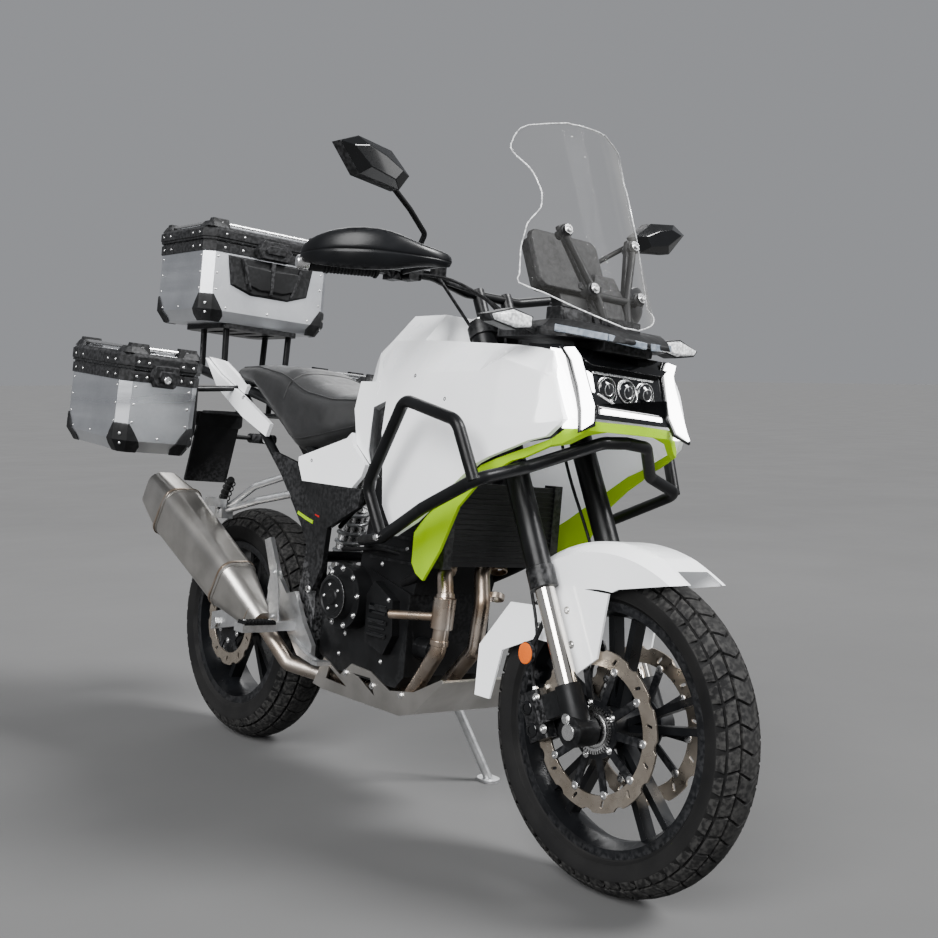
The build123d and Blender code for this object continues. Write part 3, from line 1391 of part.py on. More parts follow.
RACK_TOP_Z = TOP_CASE_AT[2] - SEAT_GAP
with BuildPart() as top_rack:
    with BuildSketch(Plane.XY.offset(RACK_TOP_Z - 14)):
        with Locations((0, 925)):
            RectangleRounded(250, 250, 30)
            for x in (-62, 0, 62):
                with Locations((x, 0)):
                    SlotOverall(150, 26, rotation=90, mode=Mode.SUBTRACT)
    extrude(amount=14)
    for side in (-1, 1):
        for y, rail_z in ((828, 1005), (960, 1032)):
            add(rod((side * 100, y, rail_z), (side * 104, y, RACK_TOP_Z - 10), 9))
    add(main_frame.part, mode=Mode.SUBTRACT)
with BuildPart() as luggage_racks:
    add(both_sides(rack_half.part))
    add(top_rack.part)
pieces["luggage_racks"] = luggage_racks.part


# ---------------------------------------------------------------- cases
def chamfered(across, deep, inset):
    """Corner points of a rectangle with its corners cut, shrunk by inset."""
    x = across / 2 - inset
    y = deep / 2 - inset
    cut = CASE_CHAMFER - inset * 0.6
    return [(x - cut, y), (x, y - cut), (x, -y + cut), (x - cut, -y), (-x + cut, -y), (-x, -y + cut),
            (-x, y - cut), (-x + cut, y)]


def hinge_line(size, edge):
    """Plane square to the hinge line on a case's rear, left or right edge."""
    across, deep, tall = size
    z = tall + LID_GAP / 2
    if edge == "rear":
        return Plane(origin=(0, deep / 2 + LID_OVERHANG, z), x_dir=(0, 1, 0), z_dir=(1, 0, 0))
    side = 1 if edge == "left" else -1
    return Plane(origin=(side * (across / 2 + LID_OVERHANG), 0, z), x_dir=(1, 0, 0), z_dir=(0, 1, 0))


def round_on(line, span, radius):
    """A cylinder round the hinge line over a span of it."""
    with BuildPart() as barrel:
        with BuildSketch(line.offset(span[0])):
            Circle(radius)
        extrude(amount=span[1] - span[0])
    return barrel.part


def leaf(size, edge, span):
    """The plate that carries a tub's knuckle on the wall below it."""
    across, deep, tall = size
    long = span[1] - span[0]
    middle = (span[0] + span[1]) / 2
    z = tall - LEAF_TALL / 2
    side = 1 if edge == "left" else -1
    with BuildPart() as plate:
        if edge == "rear":
            with Locations((middle, (deep + LEAF_T) / 2, z)):
                Box(long, LEAF_T, LEAF_TALL)
        else:
            with Locations((side * (across + LEAF_T) / 2, middle, z)):
                Box(LEAF_T, long, LEAF_TALL)
    return plate.part


def sloping_block(size, inset):
    """A tub's outer form, or with an inset its inside, open at the rim."""
    across, deep, tall = size
    with BuildPart() as block:
        for z, shrink in ((inset, TUB_BEVEL_IN + inset), (TUB_BEVEL_UP, inset)):
            with BuildSketch(Plane.XY.offset(z)):
                with BuildLine():
                    Polyline(*chamfered(across, deep, shrink), close=True)
                make_face()
        loft(ruled=True)
        with BuildSketch(Plane.XY.offset(TUB_BEVEL_UP)):
            with BuildLine():
                Polyline(*chamfered(across, deep, inset), close=True)
            make_face()
        extrude(amount=tall - TUB_BEVEL_UP + inset)
    return block.part


def case_tub(size, edge):
    """An open tub, its bottom centre at the origin, with the pin of its lid's hinge."""
    line = hinge_line(size, edge)
    with BuildPart() as tub:
        add(sloping_block(size, 0))
        add(sloping_block(size, CASE_WALL), mode=Mode.SUBTRACT)
        for span in TUB_KNUCKLES:
            add(leaf(size, edge, span))
            add(round_on(line, span, KNUCKLE_R))
        add(round_on(line, (TUB_KNUCKLES[0][0], TUB_KNUCKLES[1][1]), HINGE_PIN_R))
    return tub.part


def case_lid(size, tall, edge):
    """The lid: an upside-down tray over the tub's rim, with four holders and their tie bars."""
    across, deep, tub_tall = size
    line = hinge_line(size, edge)
    base = tub_tall + LID_GAP
    tray = tall - TIE_RISE
    bar_x = across / 2 - HOLDER_WIDE / 2 - 8
    bar_y = deep / 2 - HOLDER_WIDE / 2 - 8
    with BuildPart() as lid:
        with BuildSketch(Plane.XY.offset(base)):
            with BuildLine():
                Polyline(*chamfered(across, deep, -LID_OVERHANG), close=True)
            make_face()
        extrude(amount=tray - 8)
        with BuildSketch(Plane.XY.offset(base + tray - 8)):
            with BuildLine():
                Polyline(*chamfered(across, deep, -LID_OVERHANG), close=True)
            make_face()
        with BuildSketch(Plane.XY.offset(base + tray)):
            with BuildLine():
                Polyline(*chamfered(across, deep, 3), close=True)
            make_face()
        loft(ruled=True)
        for side_x in (-1, 1):
            for side_y in (-1, 1):
                with BuildSketch(Plane.XY.offset(base + tray - 1)):
                    with Locations((side_x * (bar_x - HOLDER_LONG / 2 + 10), side_y * bar_y)):
                        Rectangle(HOLDER_LONG, HOLDER_WIDE)
                extrude(amount=TIE_RISE + 1, taper=12)
        for side in (-1, 1):
            add(rod((-bar_x, side * bar_y, base + tray + TIE_RISE / 2),
                    (bar_x, side * bar_y, base + tray + TIE_RISE / 2), TIE_BAR_R))
            add(rod((side * bar_x, -bar_y, base + tray + TIE_RISE / 2),
                    (side * bar_x, bar_y, base + tray + TIE_RISE / 2), TIE_BAR_R))
        with BuildSketch(Plane.XY.offset(base)):
            with BuildLine():
                Polyline(*chamfered(across, deep, CASE_WALL + 8), close=True)
            make_face()
        extrude(amount=tray - CASE_WALL, mode=Mode.SUBTRACT)
        for start, end in TUB_KNUCKLES:
            grown = (start - KNUCKLE_PLAY, end + KNUCKLE_PLAY)
            add(round_on(line, grown, KNUCKLE_R + KNUCKLE_PLAY), mode=Mode.SUBTRACT)
        add(round_on(line, LID_KNUCKLE, KNUCKLE_R))
        add(round_on(line, LID_KNUCKLE, HINGE_PIN_R + RUNNING), mode=Mode.SUBTRACT)
    return lid.part


TOP_PLACE = Pos(*TOP_CASE_AT)
pieces["top_case"] = TOP_PLACE * case_tub(TOP_CASE_SIZE, "rear")
pieces["top_case_lid"] = TOP_PLACE * case_lid(TOP_CASE_SIZE, TOP_LID_H, "rear")
for name, side, inner in (("left", 1, "right"), ("right", -1, "left")):
    place = Pos(side * PANNIER_AT[0], PANNIER_AT[1], PANNIER_AT[2]) * Rot(X=PANNIER_PITCH)
    with BuildPart() as tub_placed:
        add(place * case_tub(PANNIER_SIZE, inner))
        add(luggage_racks.part, mode=Mode.SUBTRACT)
    pieces[f"pannier_{name}"] = tub_placed.part
    pieces[f"pannier_lid_{name}"] = place * case_lid(PANNIER_SIZE, PANNIER_LID_H, inner)

# ---------------------------------------------------------------- side stand
parked_up = Vector(-LEAN_SIN, 0, LEAN_COS)       # the floor's upward direction, seen upright
floor_z = FRONT_CROWN_R + (STAND_FOOT_OUT * LEAN_SIN - FRONT_CROWN_R) / LEAN_COS
pivot = Vector(*STAND_PIVOT)
foot = Vector(STAND_FOOT_OUT, STAND_FOOT_Y, floor_z)
leg_down = (foot - pivot).normalized()
leg_folded = Vector(28, 258, 24).normalized()
stand_axis = leg_down.cross(leg_folded).normalized()
STAND_FOOT_T = 7.0
STAND_FOOT_LONG = 64.0
STAND_FOOT_WIDE = 44.0
PIN_R = 8.0
EYE_R = 17.0
EYE_HALF = STAND_TUBE_R + 1.0
LUG_GAP = 1.5
LUG_T = 9.0
with BuildPart() as side_stand:
    with BuildSketch(Plane(origin=pivot - stand_axis * EYE_HALF, z_dir=stand_axis)):
        Circle(EYE_R)
    extrude(amount=2 * EYE_HALF)
    add(rod(tuple(pivot + leg_down * (PIN_R + 3)), tuple(foot + parked_up * 6), STAND_TUBE_R))
    with BuildSketch(Plane(origin=foot, x_dir=(0, 1, 0), z_dir=parked_up)):
        SlotOverall(STAND_FOOT_LONG, STAND_FOOT_WIDE)
    extrude(amount=STAND_FOOT_T)
    with BuildSketch(Plane(origin=pivot - stand_axis * 30, z_dir=stand_axis)):
        Circle(PIN_R + RUNNING)
    extrude(amount=60, mode=Mode.SUBTRACT)
pieces["side_stand"] = side_stand.part

BRACKET_X = 127.0                # inner face of the plate that carries the pivot lug
BRACKET_T = 11.0
with BuildPart() as stand_bracket:
    with BuildSketch(Plane(origin=pivot - stand_axis * (EYE_HALF + LUG_GAP), z_dir=stand_axis)):
        Circle(EYE_R + 5)
    extrude(amount=-LUG_T)
    with BuildSketch(Plane(origin=pivot - stand_axis * (EYE_HALF + LUG_GAP + LUG_T / 2), z_dir=stand_axis)):
        Circle(PIN_R)
    extrude(amount=2 * (EYE_HALF + LUG_GAP) + LUG_T / 2)
    with BuildSketch(Plane(origin=pivot + stand_axis * (EYE_HALF + LUG_GAP), z_dir=stand_axis)):
        Circle(PIN_R + 5)
    extrude(amount=5)
    add(side_plate([(-14, 264), (56, 264), (66, 300), (66, 350), (-20, 350), (-20, 300)],
                   BRACKET_X, BRACKET_X + BRACKET_T))
    with BuildSketch(Plane.YZ.offset(ENGINE_HALF + SEAT_GAP)):
        with Locations((-6, 338), (52, 338)):
            Circle(8)
    extrude(amount=BRACKET_X - ENGINE_HALF - SEAT_GAP)
pieces["stand_bracket"] = stand_bracket.part

# ---------------------------------------------------------------- lean, then seat on the origin
os.makedirs("parts", exist_ok=True)
lean_axis = Axis((0, 0, FRONT_CROWN_R), (0, 1, 0))
parked = {name: solid.rotate(lean_axis, LEAN) for name, solid in pieces.items()}
boxes = [solid.bounding_box() for solid in parked.values()]
low_x, high_x = min(box.min.X for box in boxes), max(box.max.X for box in boxes)
low_y, high_y = min(box.min.Y for box in boxes), max(box.max.Y for box in boxes)
to_origin = Vector(-(low_x + high_x) / 2, -(low_y + high_y) / 2, 0)
print(f"shift to the origin: {to_origin.X:.4f} {to_origin.Y:.4f}")
for name, solid in parked.items():
    placed = solid.translate(to_origin)
    placed.label = name
    export_step(placed, f"parts/{name}.step")
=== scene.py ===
# %% [markdown]
# # An adventure motorcycle, parked on its side stand
# The machine is already built as measured solids. This lesson dresses them: the solids stay
# where they are and get their real finishes, and what solids can't show well, such as tread,
# chain links, padding, rivets and seams, is drawn here as its own pieces. Everything rides on
# one of the bodies that the joints move, so the bars still turn and the lids still open.

# %% Load the solids
import json
import math
import bmesh
import bpy
from mathutils import Matrix, Vector
from mathutils.bvhtree import BVHTree


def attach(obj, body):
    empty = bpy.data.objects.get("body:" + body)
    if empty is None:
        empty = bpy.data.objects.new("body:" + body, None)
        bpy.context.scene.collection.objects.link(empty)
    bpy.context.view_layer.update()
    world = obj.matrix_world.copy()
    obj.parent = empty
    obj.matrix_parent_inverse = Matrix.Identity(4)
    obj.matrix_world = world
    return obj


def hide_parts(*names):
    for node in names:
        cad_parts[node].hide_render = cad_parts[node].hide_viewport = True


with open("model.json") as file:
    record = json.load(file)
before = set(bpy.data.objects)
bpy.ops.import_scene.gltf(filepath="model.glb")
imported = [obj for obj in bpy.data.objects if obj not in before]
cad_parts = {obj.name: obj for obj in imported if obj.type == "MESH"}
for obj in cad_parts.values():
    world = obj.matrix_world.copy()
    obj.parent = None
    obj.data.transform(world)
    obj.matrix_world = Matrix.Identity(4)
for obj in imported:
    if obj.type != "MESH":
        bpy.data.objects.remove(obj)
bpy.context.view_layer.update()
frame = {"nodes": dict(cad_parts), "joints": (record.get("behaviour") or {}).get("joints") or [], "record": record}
NODES = frame["nodes"]
BODY_OF = {part: body for body, parts in frame["record"]["behaviour"]["bodies"].items()
           for part in parts}

# %% [markdown]
# ## Draw upright, in millimetres
# A parked motorcycle leans on its stand, and nothing is easy to draw on a leaning frame. So
# every piece is drawn upright in millimetres, x to the left, y to the back, z up from the
# floor, with the front axle at y = -700, z = 330. One matrix then leans it into place. It is
# worked out from the front wheel's axle, so it follows the solids.

# %% The matrix that parks a piece
AXLE = next(j for j in frame["joints"] if j["name"] == "front_wheel_axle")
LEAN = math.asin(-AXLE["axis"][2])
FRONT_AXLE = Vector((0.0, -700.0, 330.0))
MM = 0.001
PARK = (Matrix.Translation(Vector(AXLE["pos_m"])) @ Matrix.Rotation(LEAN, 4, "Y")
        @ Matrix.Scale(MM, 4) @ Matrix.Translation(-FRONT_AXLE))
print("leans by", round(math.degrees(LEAN), 2), "degrees")

# %% [markdown]
# ## Helpers for shapes
# Four kinds of shape make nearly every fitting: something turned on a lathe, a flat outline
# given a thickness, a bar or hose along a path, and a strip lofted through stations. Each
# helper adds to an open mesh, so a dozen bolts can be one piece.

# %% Turned, cut, drawn and lofted shapes
TINY = 1e-6


def moved(x, y, z):
    return Matrix.Translation((x, y, z))


def axes(x, y, z):
    """A rotation from the three ways its axes point."""
    return Matrix((Vector(x), Vector(y), Vector(z))).transposed().to_4x4()


def faced(out):
    """A rotation whose z looks along out, and whose y is as near up as it can be."""
    z = Vector(out).normalized()
    x = Vector((0.0, 0.0, 1.0)).cross(z)
    if x.length < 1e-4:
        x = Vector((0.0, 1.0, 0.0)).cross(z)
    x.normalize()
    return axes(x, z.cross(x), z)


def stood(at, out):
    return Matrix.Translation(Vector(at)) @ faced(out)


def circle(count, shift=0.0):
    """The angles of count even steps round a circle."""
    return [math.tau * (i + shift) / count for i in range(count)]


def ring_faces(mesh, low, high):
    """Joins two closed rows of points with a belt of faces."""
    for k in range(len(low)):
        j = (k + 1) % len(low)
        mesh.faces.new((low[k], low[j], high[j], high[k]))


def closed_skin(mesh, rings):
    """Belts between the rings, with a face over each end."""
    for low, high in zip(rings, rings[1:]):
        ring_faces(mesh, low, high)
    mesh.faces.new(rings[0][::-1])
    mesh.faces.new(rings[-1])


def turned(mesh, profile, place, steps=24, closed=False):
    """Turns (radius, height) pairs round place's z axis."""
    rings = []
    for radius, height in profile:
        if radius < TINY:
            rings.append([mesh.verts.new(place @ Vector((0, 0, height)))] * steps)
            continue
        rings.append([mesh.verts.new(place @ Vector(
            (radius * math.cos(a), radius * math.sin(a), height))) for a in circle(steps)])
    pairs = list(zip(rings, rings[1:] + rings[:1])) if closed else list(zip(rings, rings[1:]))
    for low, high in pairs:
        for i in range(steps):
            j = (i + 1) % steps
            corners = []
            for corner in (low[i], low[j], high[j], high[i]):
                if corner not in corners:
                    corners.append(corner)
            if len(corners) > 2:
                mesh.faces.new(corners)


def cut(mesh, outline, thick, place, shrink=0.0):
    """A flat outline given a thickness, from place's z = 0 up; shrink draws the top in."""
    middle = sum((Vector(p) for p in outline), Vector((0, 0))) / len(outline)
    low = [mesh.verts.new(place @ Vector((x, y, 0))) for x, y in outline]
    top = []
    for x, y in outline:
        inward = middle - Vector((x, y))
        inward = inward.normalized() * shrink if shrink else Vector((0, 0))
        top.append(mesh.verts.new(place @ Vector((x + inward.x, y + inward.y, thick))))
    closed_skin(mesh, [low, top])


def rounded(wide, tall, corner, steps=4):
    """The outline of a rectangle with round corners, about its centre."""
    points = []
    for turn, (sx, sy) in enumerate(((1, 1), (-1, 1), (-1, -1), (1, -1))):
        for i in range(steps + 1):
            angle = math.pi / 2 * (turn + i / steps)
            points.append((sx * (wide / 2 - corner) + corner * math.cos(angle),
                           sy * (tall / 2 - corner) + corner * math.sin(angle)))
    return points


def smooth_path(points, each=6):
    """A smooth line through the points, as a list of Vectors."""
    ends = [Vector(p) for p in points]
    ends = [2 * ends[0] - ends[1]] + ends + [2 * ends[-1] - ends[-2]]
    path = []
    for a, b, c, d in zip(ends, ends[1:], ends[2:], ends[3:]):
        for i in range(each):
            t = i / each
            path.append(0.5 * (2 * b + (c - a) * t + (2 * a - 5 * b + 4 * c - d) * t * t
                               + (3 * b - a - 3 * c + d) * t ** 3))
    return path + [ends[-2]]


def bar(mesh, points, radius, sides=12, smooth=True, each=6, squash=1.0):
    """A round bar or hose along a path, with closed ends."""
    path = smooth_path(points, each) if smooth else [Vector(p) for p in points]
    side = None
    rings = []
    for i, spot in enumerate(path):
        ahead = (path[min(i + 1, len(path) - 1)] - path[max(i - 1, 0)]).normalized()
        if side is None:
            side = ahead.orthogonal().normalized()
        side = (side - ahead * side.dot(ahead)).normalized()
        other = ahead.cross(side)
        rings.append([mesh.verts.new(spot + radius * (math.cos(a) * side
                                                      + squash * math.sin(a) * other))
                      for a in circle(sides)])
    closed_skin(mesh, rings)


def lofted(mesh, sections):
    """A closed skin through sections with equal numbers of points."""
    closed_skin(mesh, [[mesh.verts.new(Vector(p)) for p in section] for section in sections])


def scaled(outline, share):
    """An outline shrunk towards its middle."""
    middle = sum((Vector(p) for p in outline), Vector((0, 0))) / len(outline)
    return [tuple(middle + (Vector(p) - middle) * share) for p in outline]


def block(mesh, size, place):
    """A straight block about place's origin; the piece's own bevel rounds it."""
    x, y, z = (length / 2 for length in size)
    cut(mesh, [(-x, -y), (x, -y), (x, y), (-x, y)], 2 * z, place @ moved(0, 0, -z))


# %% [markdown]
# ## Helpers for fastenings
# Real machines are covered in small bright heads. A socket screw is turned with its rim
# chamfered and its recess sunk, a hex bolt is cut as a hexagon on a washer, and a rivet is a
# low dome. They are made once here and set wherever a piece is held.

# %% Screws, bolts and rivets
HEX_WASHER = 20


def socket_screw(mesh, at, out, radius=5.0, tall=4.0):
    turned(mesh, [(radius * 1.5, -1.0), (radius * 1.5, 0.8), (radius, 0.9),
                  (radius, tall - 0.8), (radius - 0.8, tall), (radius * 0.55, tall),
                  (radius * 0.5, tall - 2.2), (0, tall - 2.2)], stood(at, out), steps=12)


def hex_bolt(mesh, at, out, radius=7.0, tall=6.0):
    place, rim = stood(at, out), radius * 1.3
    turned(mesh, [(radius * 1.35, -1.5), (radius * 1.35, 1.2), (rim, 1.6)], place, HEX_WASHER)
    cut(mesh, [(radius * math.cos(a), radius * math.sin(a)) for a in circle(6)], tall,
        place @ moved(0, 0, 1.2), shrink=0.9)
    mesh.faces.new([mesh.verts.new(place @ Vector((rim * math.cos(a), rim * math.sin(a), 1.6)))
                    for a in circle(HEX_WASHER)])


def rivet(mesh, at, out, radius=4.0, tall=1.8):
    turned(mesh, [(radius, -1.0), (radius, 0.2), (radius * 0.75, tall * 0.75),
                  (radius * 0.3, tall), (0, tall)], stood(at, out), steps=12)


# %% [markdown]
# ## How a drawn shape becomes a piece
# A piece needs a finish, a body to ride on, and smooth shading that still keeps its edges.
# The bevel catches light along every edge, as a moulded or machined edge does, and the
# weighted normals keep the flat faces flat.

# %% Pieces and softened solids
def dress(thing, width, angle, parts):
    if width:
        bevel = thing.modifiers.new("edges", "BEVEL")
        bevel.width = width * MM
        bevel.segments = parts
        bevel.limit_method = "ANGLE"
        bevel.angle_limit = math.radians(angle)
        bevel.use_clamp_overlap = True
    thing.modifiers.new("flats", "WEIGHTED_NORMAL").keep_sharp = True


SAME_SPOT_MM, SAME_SPOT_M = 1e-3, 2e-5


def piece(name, mesh, finish, body, stands_for=(), edge=0.0, angle=38, parts=2,
          rounds=0, sharp=40):
    """Makes an open mesh into an object that rides on a body."""
    bmesh.ops.remove_doubles(mesh, verts=mesh.verts, dist=SAME_SPOT_MM)
    bmesh.ops.recalc_face_normals(mesh, faces=mesh.faces)
    mesh.transform(PARK)
    for face in mesh.faces:
        face.smooth = True
    data = bpy.data.meshes.new(name)
    mesh.to_mesh(data)
    mesh.free()
    if not edge:
        data.set_sharp_from_angle(angle=math.radians(sharp))
    made = bpy.data.objects.new(name, data)
    bpy.context.scene.collection.objects.link(made)
    data.materials.append(finish)
    if rounds:
        extra = made.modifiers.new("rounding", "SUBSURF")
        extra.levels = extra.render_levels = rounds
    dress(made, edge, angle, parts)
    if stands_for:
        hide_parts(*stands_for)
    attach(made, body)
    return made


def soften(name, finish, width, dissolve):
    """Gives a solid its finish, and rounds its edges without touching its vertices."""
    solid = NODES[name]
    if solid.data.attributes.get("custom_normal"):
        solid.data.attributes.remove(solid.data.attributes["custom_normal"])
    for face in solid.data.polygons:
        face.use_smooth = True
    solid.data.materials.clear()
    solid.data.materials.append(finish)
    weld = solid.modifiers.new("weld", "WELD")
    weld.merge_threshold = SAME_SPOT_M
    flatten = solid.modifiers.new("flatten", "DECIMATE")
    flatten.decimate_type = "DISSOLVE"
    flatten.angle_limit = math.radians(dissolve)
    dress(solid, width, 33, 2)


# %% [markdown]
# ## Helpers for finishes
# A finish is a shader whose colour, roughness and relief each come from noise at the size
# the real one has. Coordinates are the object's own, in metres, so a size in millimetres can
# be said directly, and the pattern moves with the piece.

# %% The parts of a finish
EDGE_FROM_TO, MOST_WORN = (0.53, 0.62), 0.7


def begin(name, metal=0.0, **sockets):
    finish = bpy.data.materials.new(name)
    finish.use_nodes = True
    shader = finish.node_tree.nodes["Principled BSDF"]
    shader.inputs["Metallic"].default_value = metal
    for socket, value in sockets.items():
        shader.inputs[socket.replace("_", " ")].default_value = value
    return finish, finish.node_tree, shader


def added(tree, kind, values, links, **kept):
    """A shader node with some inputs set and others linked to what other nodes give."""
    made = tree.nodes.new("ShaderNode" + kind)
    for setting, value in kept.items():
        setattr(made, setting, value)
    for socket, value in values.items():
        made.inputs[socket].default_value = value
    for socket, output in links.items():
        tree.links.new(output, made.inputs[socket])
    return made.outputs


def noise(tree, size, detail=3.0, stretch=(1, 1, 1)):
    """Noise with spots about size millimetres wide, stretched by dividing by stretch."""
    where = added(tree, "TexCoord", {}, {})["Object"]
    sized = added(tree, "Mapping", {"Scale": [1 / s for s in stretch]}, {"Vector": where})
    return added(tree, "TexNoise", {"Scale": 1 / MM / size, "Detail": detail},
                 {"Vector": sized["Vector"]})["Fac"]


def pebbles(tree, size):
    """Small cells, as in moulded grain or leather; bright in the middle of each."""
    where = added(tree, "TexCoord", {}, {})["Object"]
    return added(tree, "TexVoronoi", {"Scale": 1 / MM / size}, {"Vector": where},
                 feature="SMOOTH_F1")["Distance"]


def two_tone(tree, factor, low, high, start=0.35, end=0.65):
    """Blends from the low colour to the high one as the factor goes from start to end."""
    ramp = tree.nodes.new("ShaderNodeValToRGB")
    for stop, spot, colour in zip(ramp.color_ramp.elements, (start, end), (low, high)):
        stop.position, stop.color = spot, (*colour, 1)
    tree.links.new(factor, ramp.inputs["Fac"])
    return ramp.outputs["Color"]


def span(tree, factor, low, high, start=0.3, end=0.7):
    """Goes from low to high as the factor goes from start to end."""
    return added(tree, "MapRange", {"From Min": start, "From Max": end, "To Min": low,
                                    "To Max": high}, {"Value": factor})["Result"]


def worn(tree, colour, bare):
    """Lightens a colour along sharp edges, broken up as rubbing breaks it up."""
    bend = added(tree, "NewGeometry", {}, {})["Pointiness"]
    broken = added(tree, "Math", {}, {0: span(tree, bend, 0.0, MOST_WORN, *EDGE_FROM_TO),
                                      1: span(tree, noise(tree, 9, 5), 0.0, 1.0, 0.42, 0.6)},
                   operation="MULTIPLY")[0]
    mix = tree.nodes.new("ShaderNodeMix")
    mix.data_type = "RGBA"
    mix.inputs["B"].default_value = (*bare, 1)
    tree.links.new(broken, mix.inputs["Factor"])
    tree.links.new(colour, mix.inputs["A"])
    return mix.outputs["Result"]


def relief(tree, shader, factor, tall):
    """Raises the surface by up to tall millimetres, on top of what already raises it."""
    links = {"Height": factor}
    if shader.inputs["Normal"].links:
        links["Normal"] = shader.inputs["Normal"].links[0].from_socket
    tree.links.new(added(tree, "Bump", {"Distance": tall * MM}, links)["Normal"],
                   shader.inputs["Normal"])


def blotched(name, low, high, rough, grain=(1.0, 0.03), patch=60.0, metal=0.0, bare=None,
             stretch=(1, 1, 1), cells=None, **sockets):
    """The common finish: two tones in patches, broken gloss, fine grain, worn edges."""
    finish, tree, shader = begin(name, metal, **sockets)
    colour = two_tone(tree, noise(tree, patch, 6), low, high)
    if bare:
        colour = worn(tree, colour, bare)
    tree.links.new(colour, shader.inputs["Base Color"])
    tree.links.new(span(tree, noise(tree, patch / 3, 5, stretch), *rough),
                   shader.inputs["Roughness"])
    if cells:
        relief(tree, shader, pebbles(tree, cells[0]), cells[1])
    relief(tree, shader, noise(tree, grain[0], 2, stretch), grain[1])
    return finish


# %% [markdown]
# ## The finishes
# Painted panels are lacquered, so they get a clear coat over a faint orange peel. The white
# ones also glow faintly by themselves, a painted brightness that no lamp gives, and the neon
# yellow plastic glows the same way. The black plastics are textured in the mould and go grey
# where boots and gloves rub them. Aluminium sheet is brushed one way, which a noise stretched
# along the brushing gives. The exhaust has turned straw and bronze with heat.

# %% Paint and plastics
DULL = {"Specular_IOR_Level": 0.17}
# The white paint glows a little by itself, at strength 0.25: painted brightness that lifts the white panels above
# what the lamps give them.
gloss_white = blotched("white_paint_with_painted_glow", (0.82, 0.83, 0.845), (0.88, 0.89, 0.90),
                       (0.24, 0.34), (5.0, 0.03), 220.0, Coat_Weight=0.7, Coat_Roughness=0.06,
                       Emission_Color=(0.95, 0.97, 1.0, 1), Emission_Strength=0.25)
# The neon plastic glows faintly, at strength 0.12: painted brightness standing in for how its fluorescent yellow
# stands out under light.
neon_plastic = blotched("neon_yellow_plastic", (0.205, 0.37, 0.0), (0.24, 0.42, 0.0),
                        (0.3, 0.4), (3.0, 0.02), 90.0, Specular_IOR_Level=0.05,
                        Emission_Color=(0.62, 1.0, 0.0, 1), Emission_Strength=0.12)
grained_black = blotched("grained_black_plastic", (0.0039, 0.0040, 0.0043),
                         (0.0072, 0.0075, 0.0080), (0.46, 0.62), (0.8, 0.02), 70.0,
                         bare=(0.10, 0.10, 0.105), cells=(1.3, 0.05), Specular_IOR_Level=0.19)
powder_black = blotched("satin_powder_coat", (0.0033, 0.0034, 0.0037), (0.0060, 0.0063, 0.0069),
                        (0.28, 0.42), (1.6, 0.035), 80.0, bare=(0.16, 0.16, 0.165), **DULL)
gloss_black = blotched("gloss_black", (0.0016, 0.0018, 0.0021), (0.0030, 0.0033, 0.0039),
                       (0.12, 0.2), (4.0, 0.012), 90.0, Coat_Weight=0.6, Coat_Roughness=0.05,
                       **DULL)
rim_black = blotched("rim_gloss_black", (0.0030, 0.0032, 0.0037), (0.0055, 0.0060, 0.0070),
                     (0.26, 0.36), (2.0, 0.02), 90.0, bare=(0.12, 0.12, 0.125),
                     Specular_IOR_Level=0.22)
slate_plastic = blotched("slate_blue_plastic", (0.10, 0.125, 0.16), (0.14, 0.17, 0.21),
                         (0.35, 0.48), (1.2, 0.02), 60.0, bare=(0.4, 0.43, 0.47))
tyre_black = blotched("tyre_rubber", (0.0048, 0.0048, 0.0051), (0.0102, 0.0100, 0.0099),
                      (0.68, 0.86), (0.9, 0.05), 130.0, bare=(0.05, 0.049, 0.047), **DULL)
grip_black = blotched("grip_rubber", (0.0033, 0.0033, 0.0036), (0.0060, 0.0060, 0.0063),
                      (0.6, 0.75), (0.7, 0.04), 30.0, cells=(1.1, 0.08), **DULL)
seat_cover = blotched("seat_vinyl", (0.0044, 0.0046, 0.0048), (0.0075, 0.0077, 0.0083),
                      (0.42, 0.56), (0.6, 0.03), 60.0, cells=(1.6, 0.16), Sheen_Weight=0.1)
print("paint and plastics made")

# %% Metals
case_sheet = blotched("brushed_case_sheet", (0.55, 0.565, 0.59), (0.66, 0.675, 0.70),
                      (0.26, 0.42), (0.9, 0.012), 120.0, metal=1.0, stretch=(30, 30, 1),
                      bare=(0.82, 0.83, 0.85))
bright_steel = blotched("bright_steel", (0.60, 0.60, 0.60), (0.74, 0.74, 0.735),
                        (0.2, 0.34), (0.8, 0.01), 12.0, metal=1.0)
cast_silver = blotched("cast_silver", (0.50, 0.505, 0.51), (0.62, 0.625, 0.63),
                       (0.36, 0.5), (1.2, 0.04), 30.0, metal=1.0, bare=(0.8, 0.8, 0.8))
bronze_steel = blotched("bronze_steel", (0.47, 0.405, 0.33), (0.60, 0.53, 0.45),
                        (0.24, 0.36), (0.7, 0.01), 40.0, metal=1.0, bare=(0.75, 0.68, 0.58))
fork_chrome = blotched("fork_chrome", (0.72, 0.68, 0.62), (0.80, 0.77, 0.72),
                       (0.06, 0.12), (3.0, 0.003), 80.0, metal=1.0)
chain_metal = blotched("oiled_chain", (0.20, 0.18, 0.155), (0.36, 0.33, 0.29),
                       (0.3, 0.5), (1.0, 0.02), 10.0, metal=1.0, bare=(0.6, 0.56, 0.5))
engine_black = blotched("engine_casting", (0.0050, 0.0051, 0.0055), (0.0088, 0.0091, 0.0097),
                        (0.36, 0.52), (1.8, 0.07), 60.0, metal=0.25, bare=(0.045, 0.046, 0.048),
                        **DULL)
heated_steel = blotched("heated_stainless", (0.34, 0.24, 0.16), (0.62, 0.56, 0.50),
                        (0.22, 0.38), (0.9, 0.012), 110.0, metal=1.0)
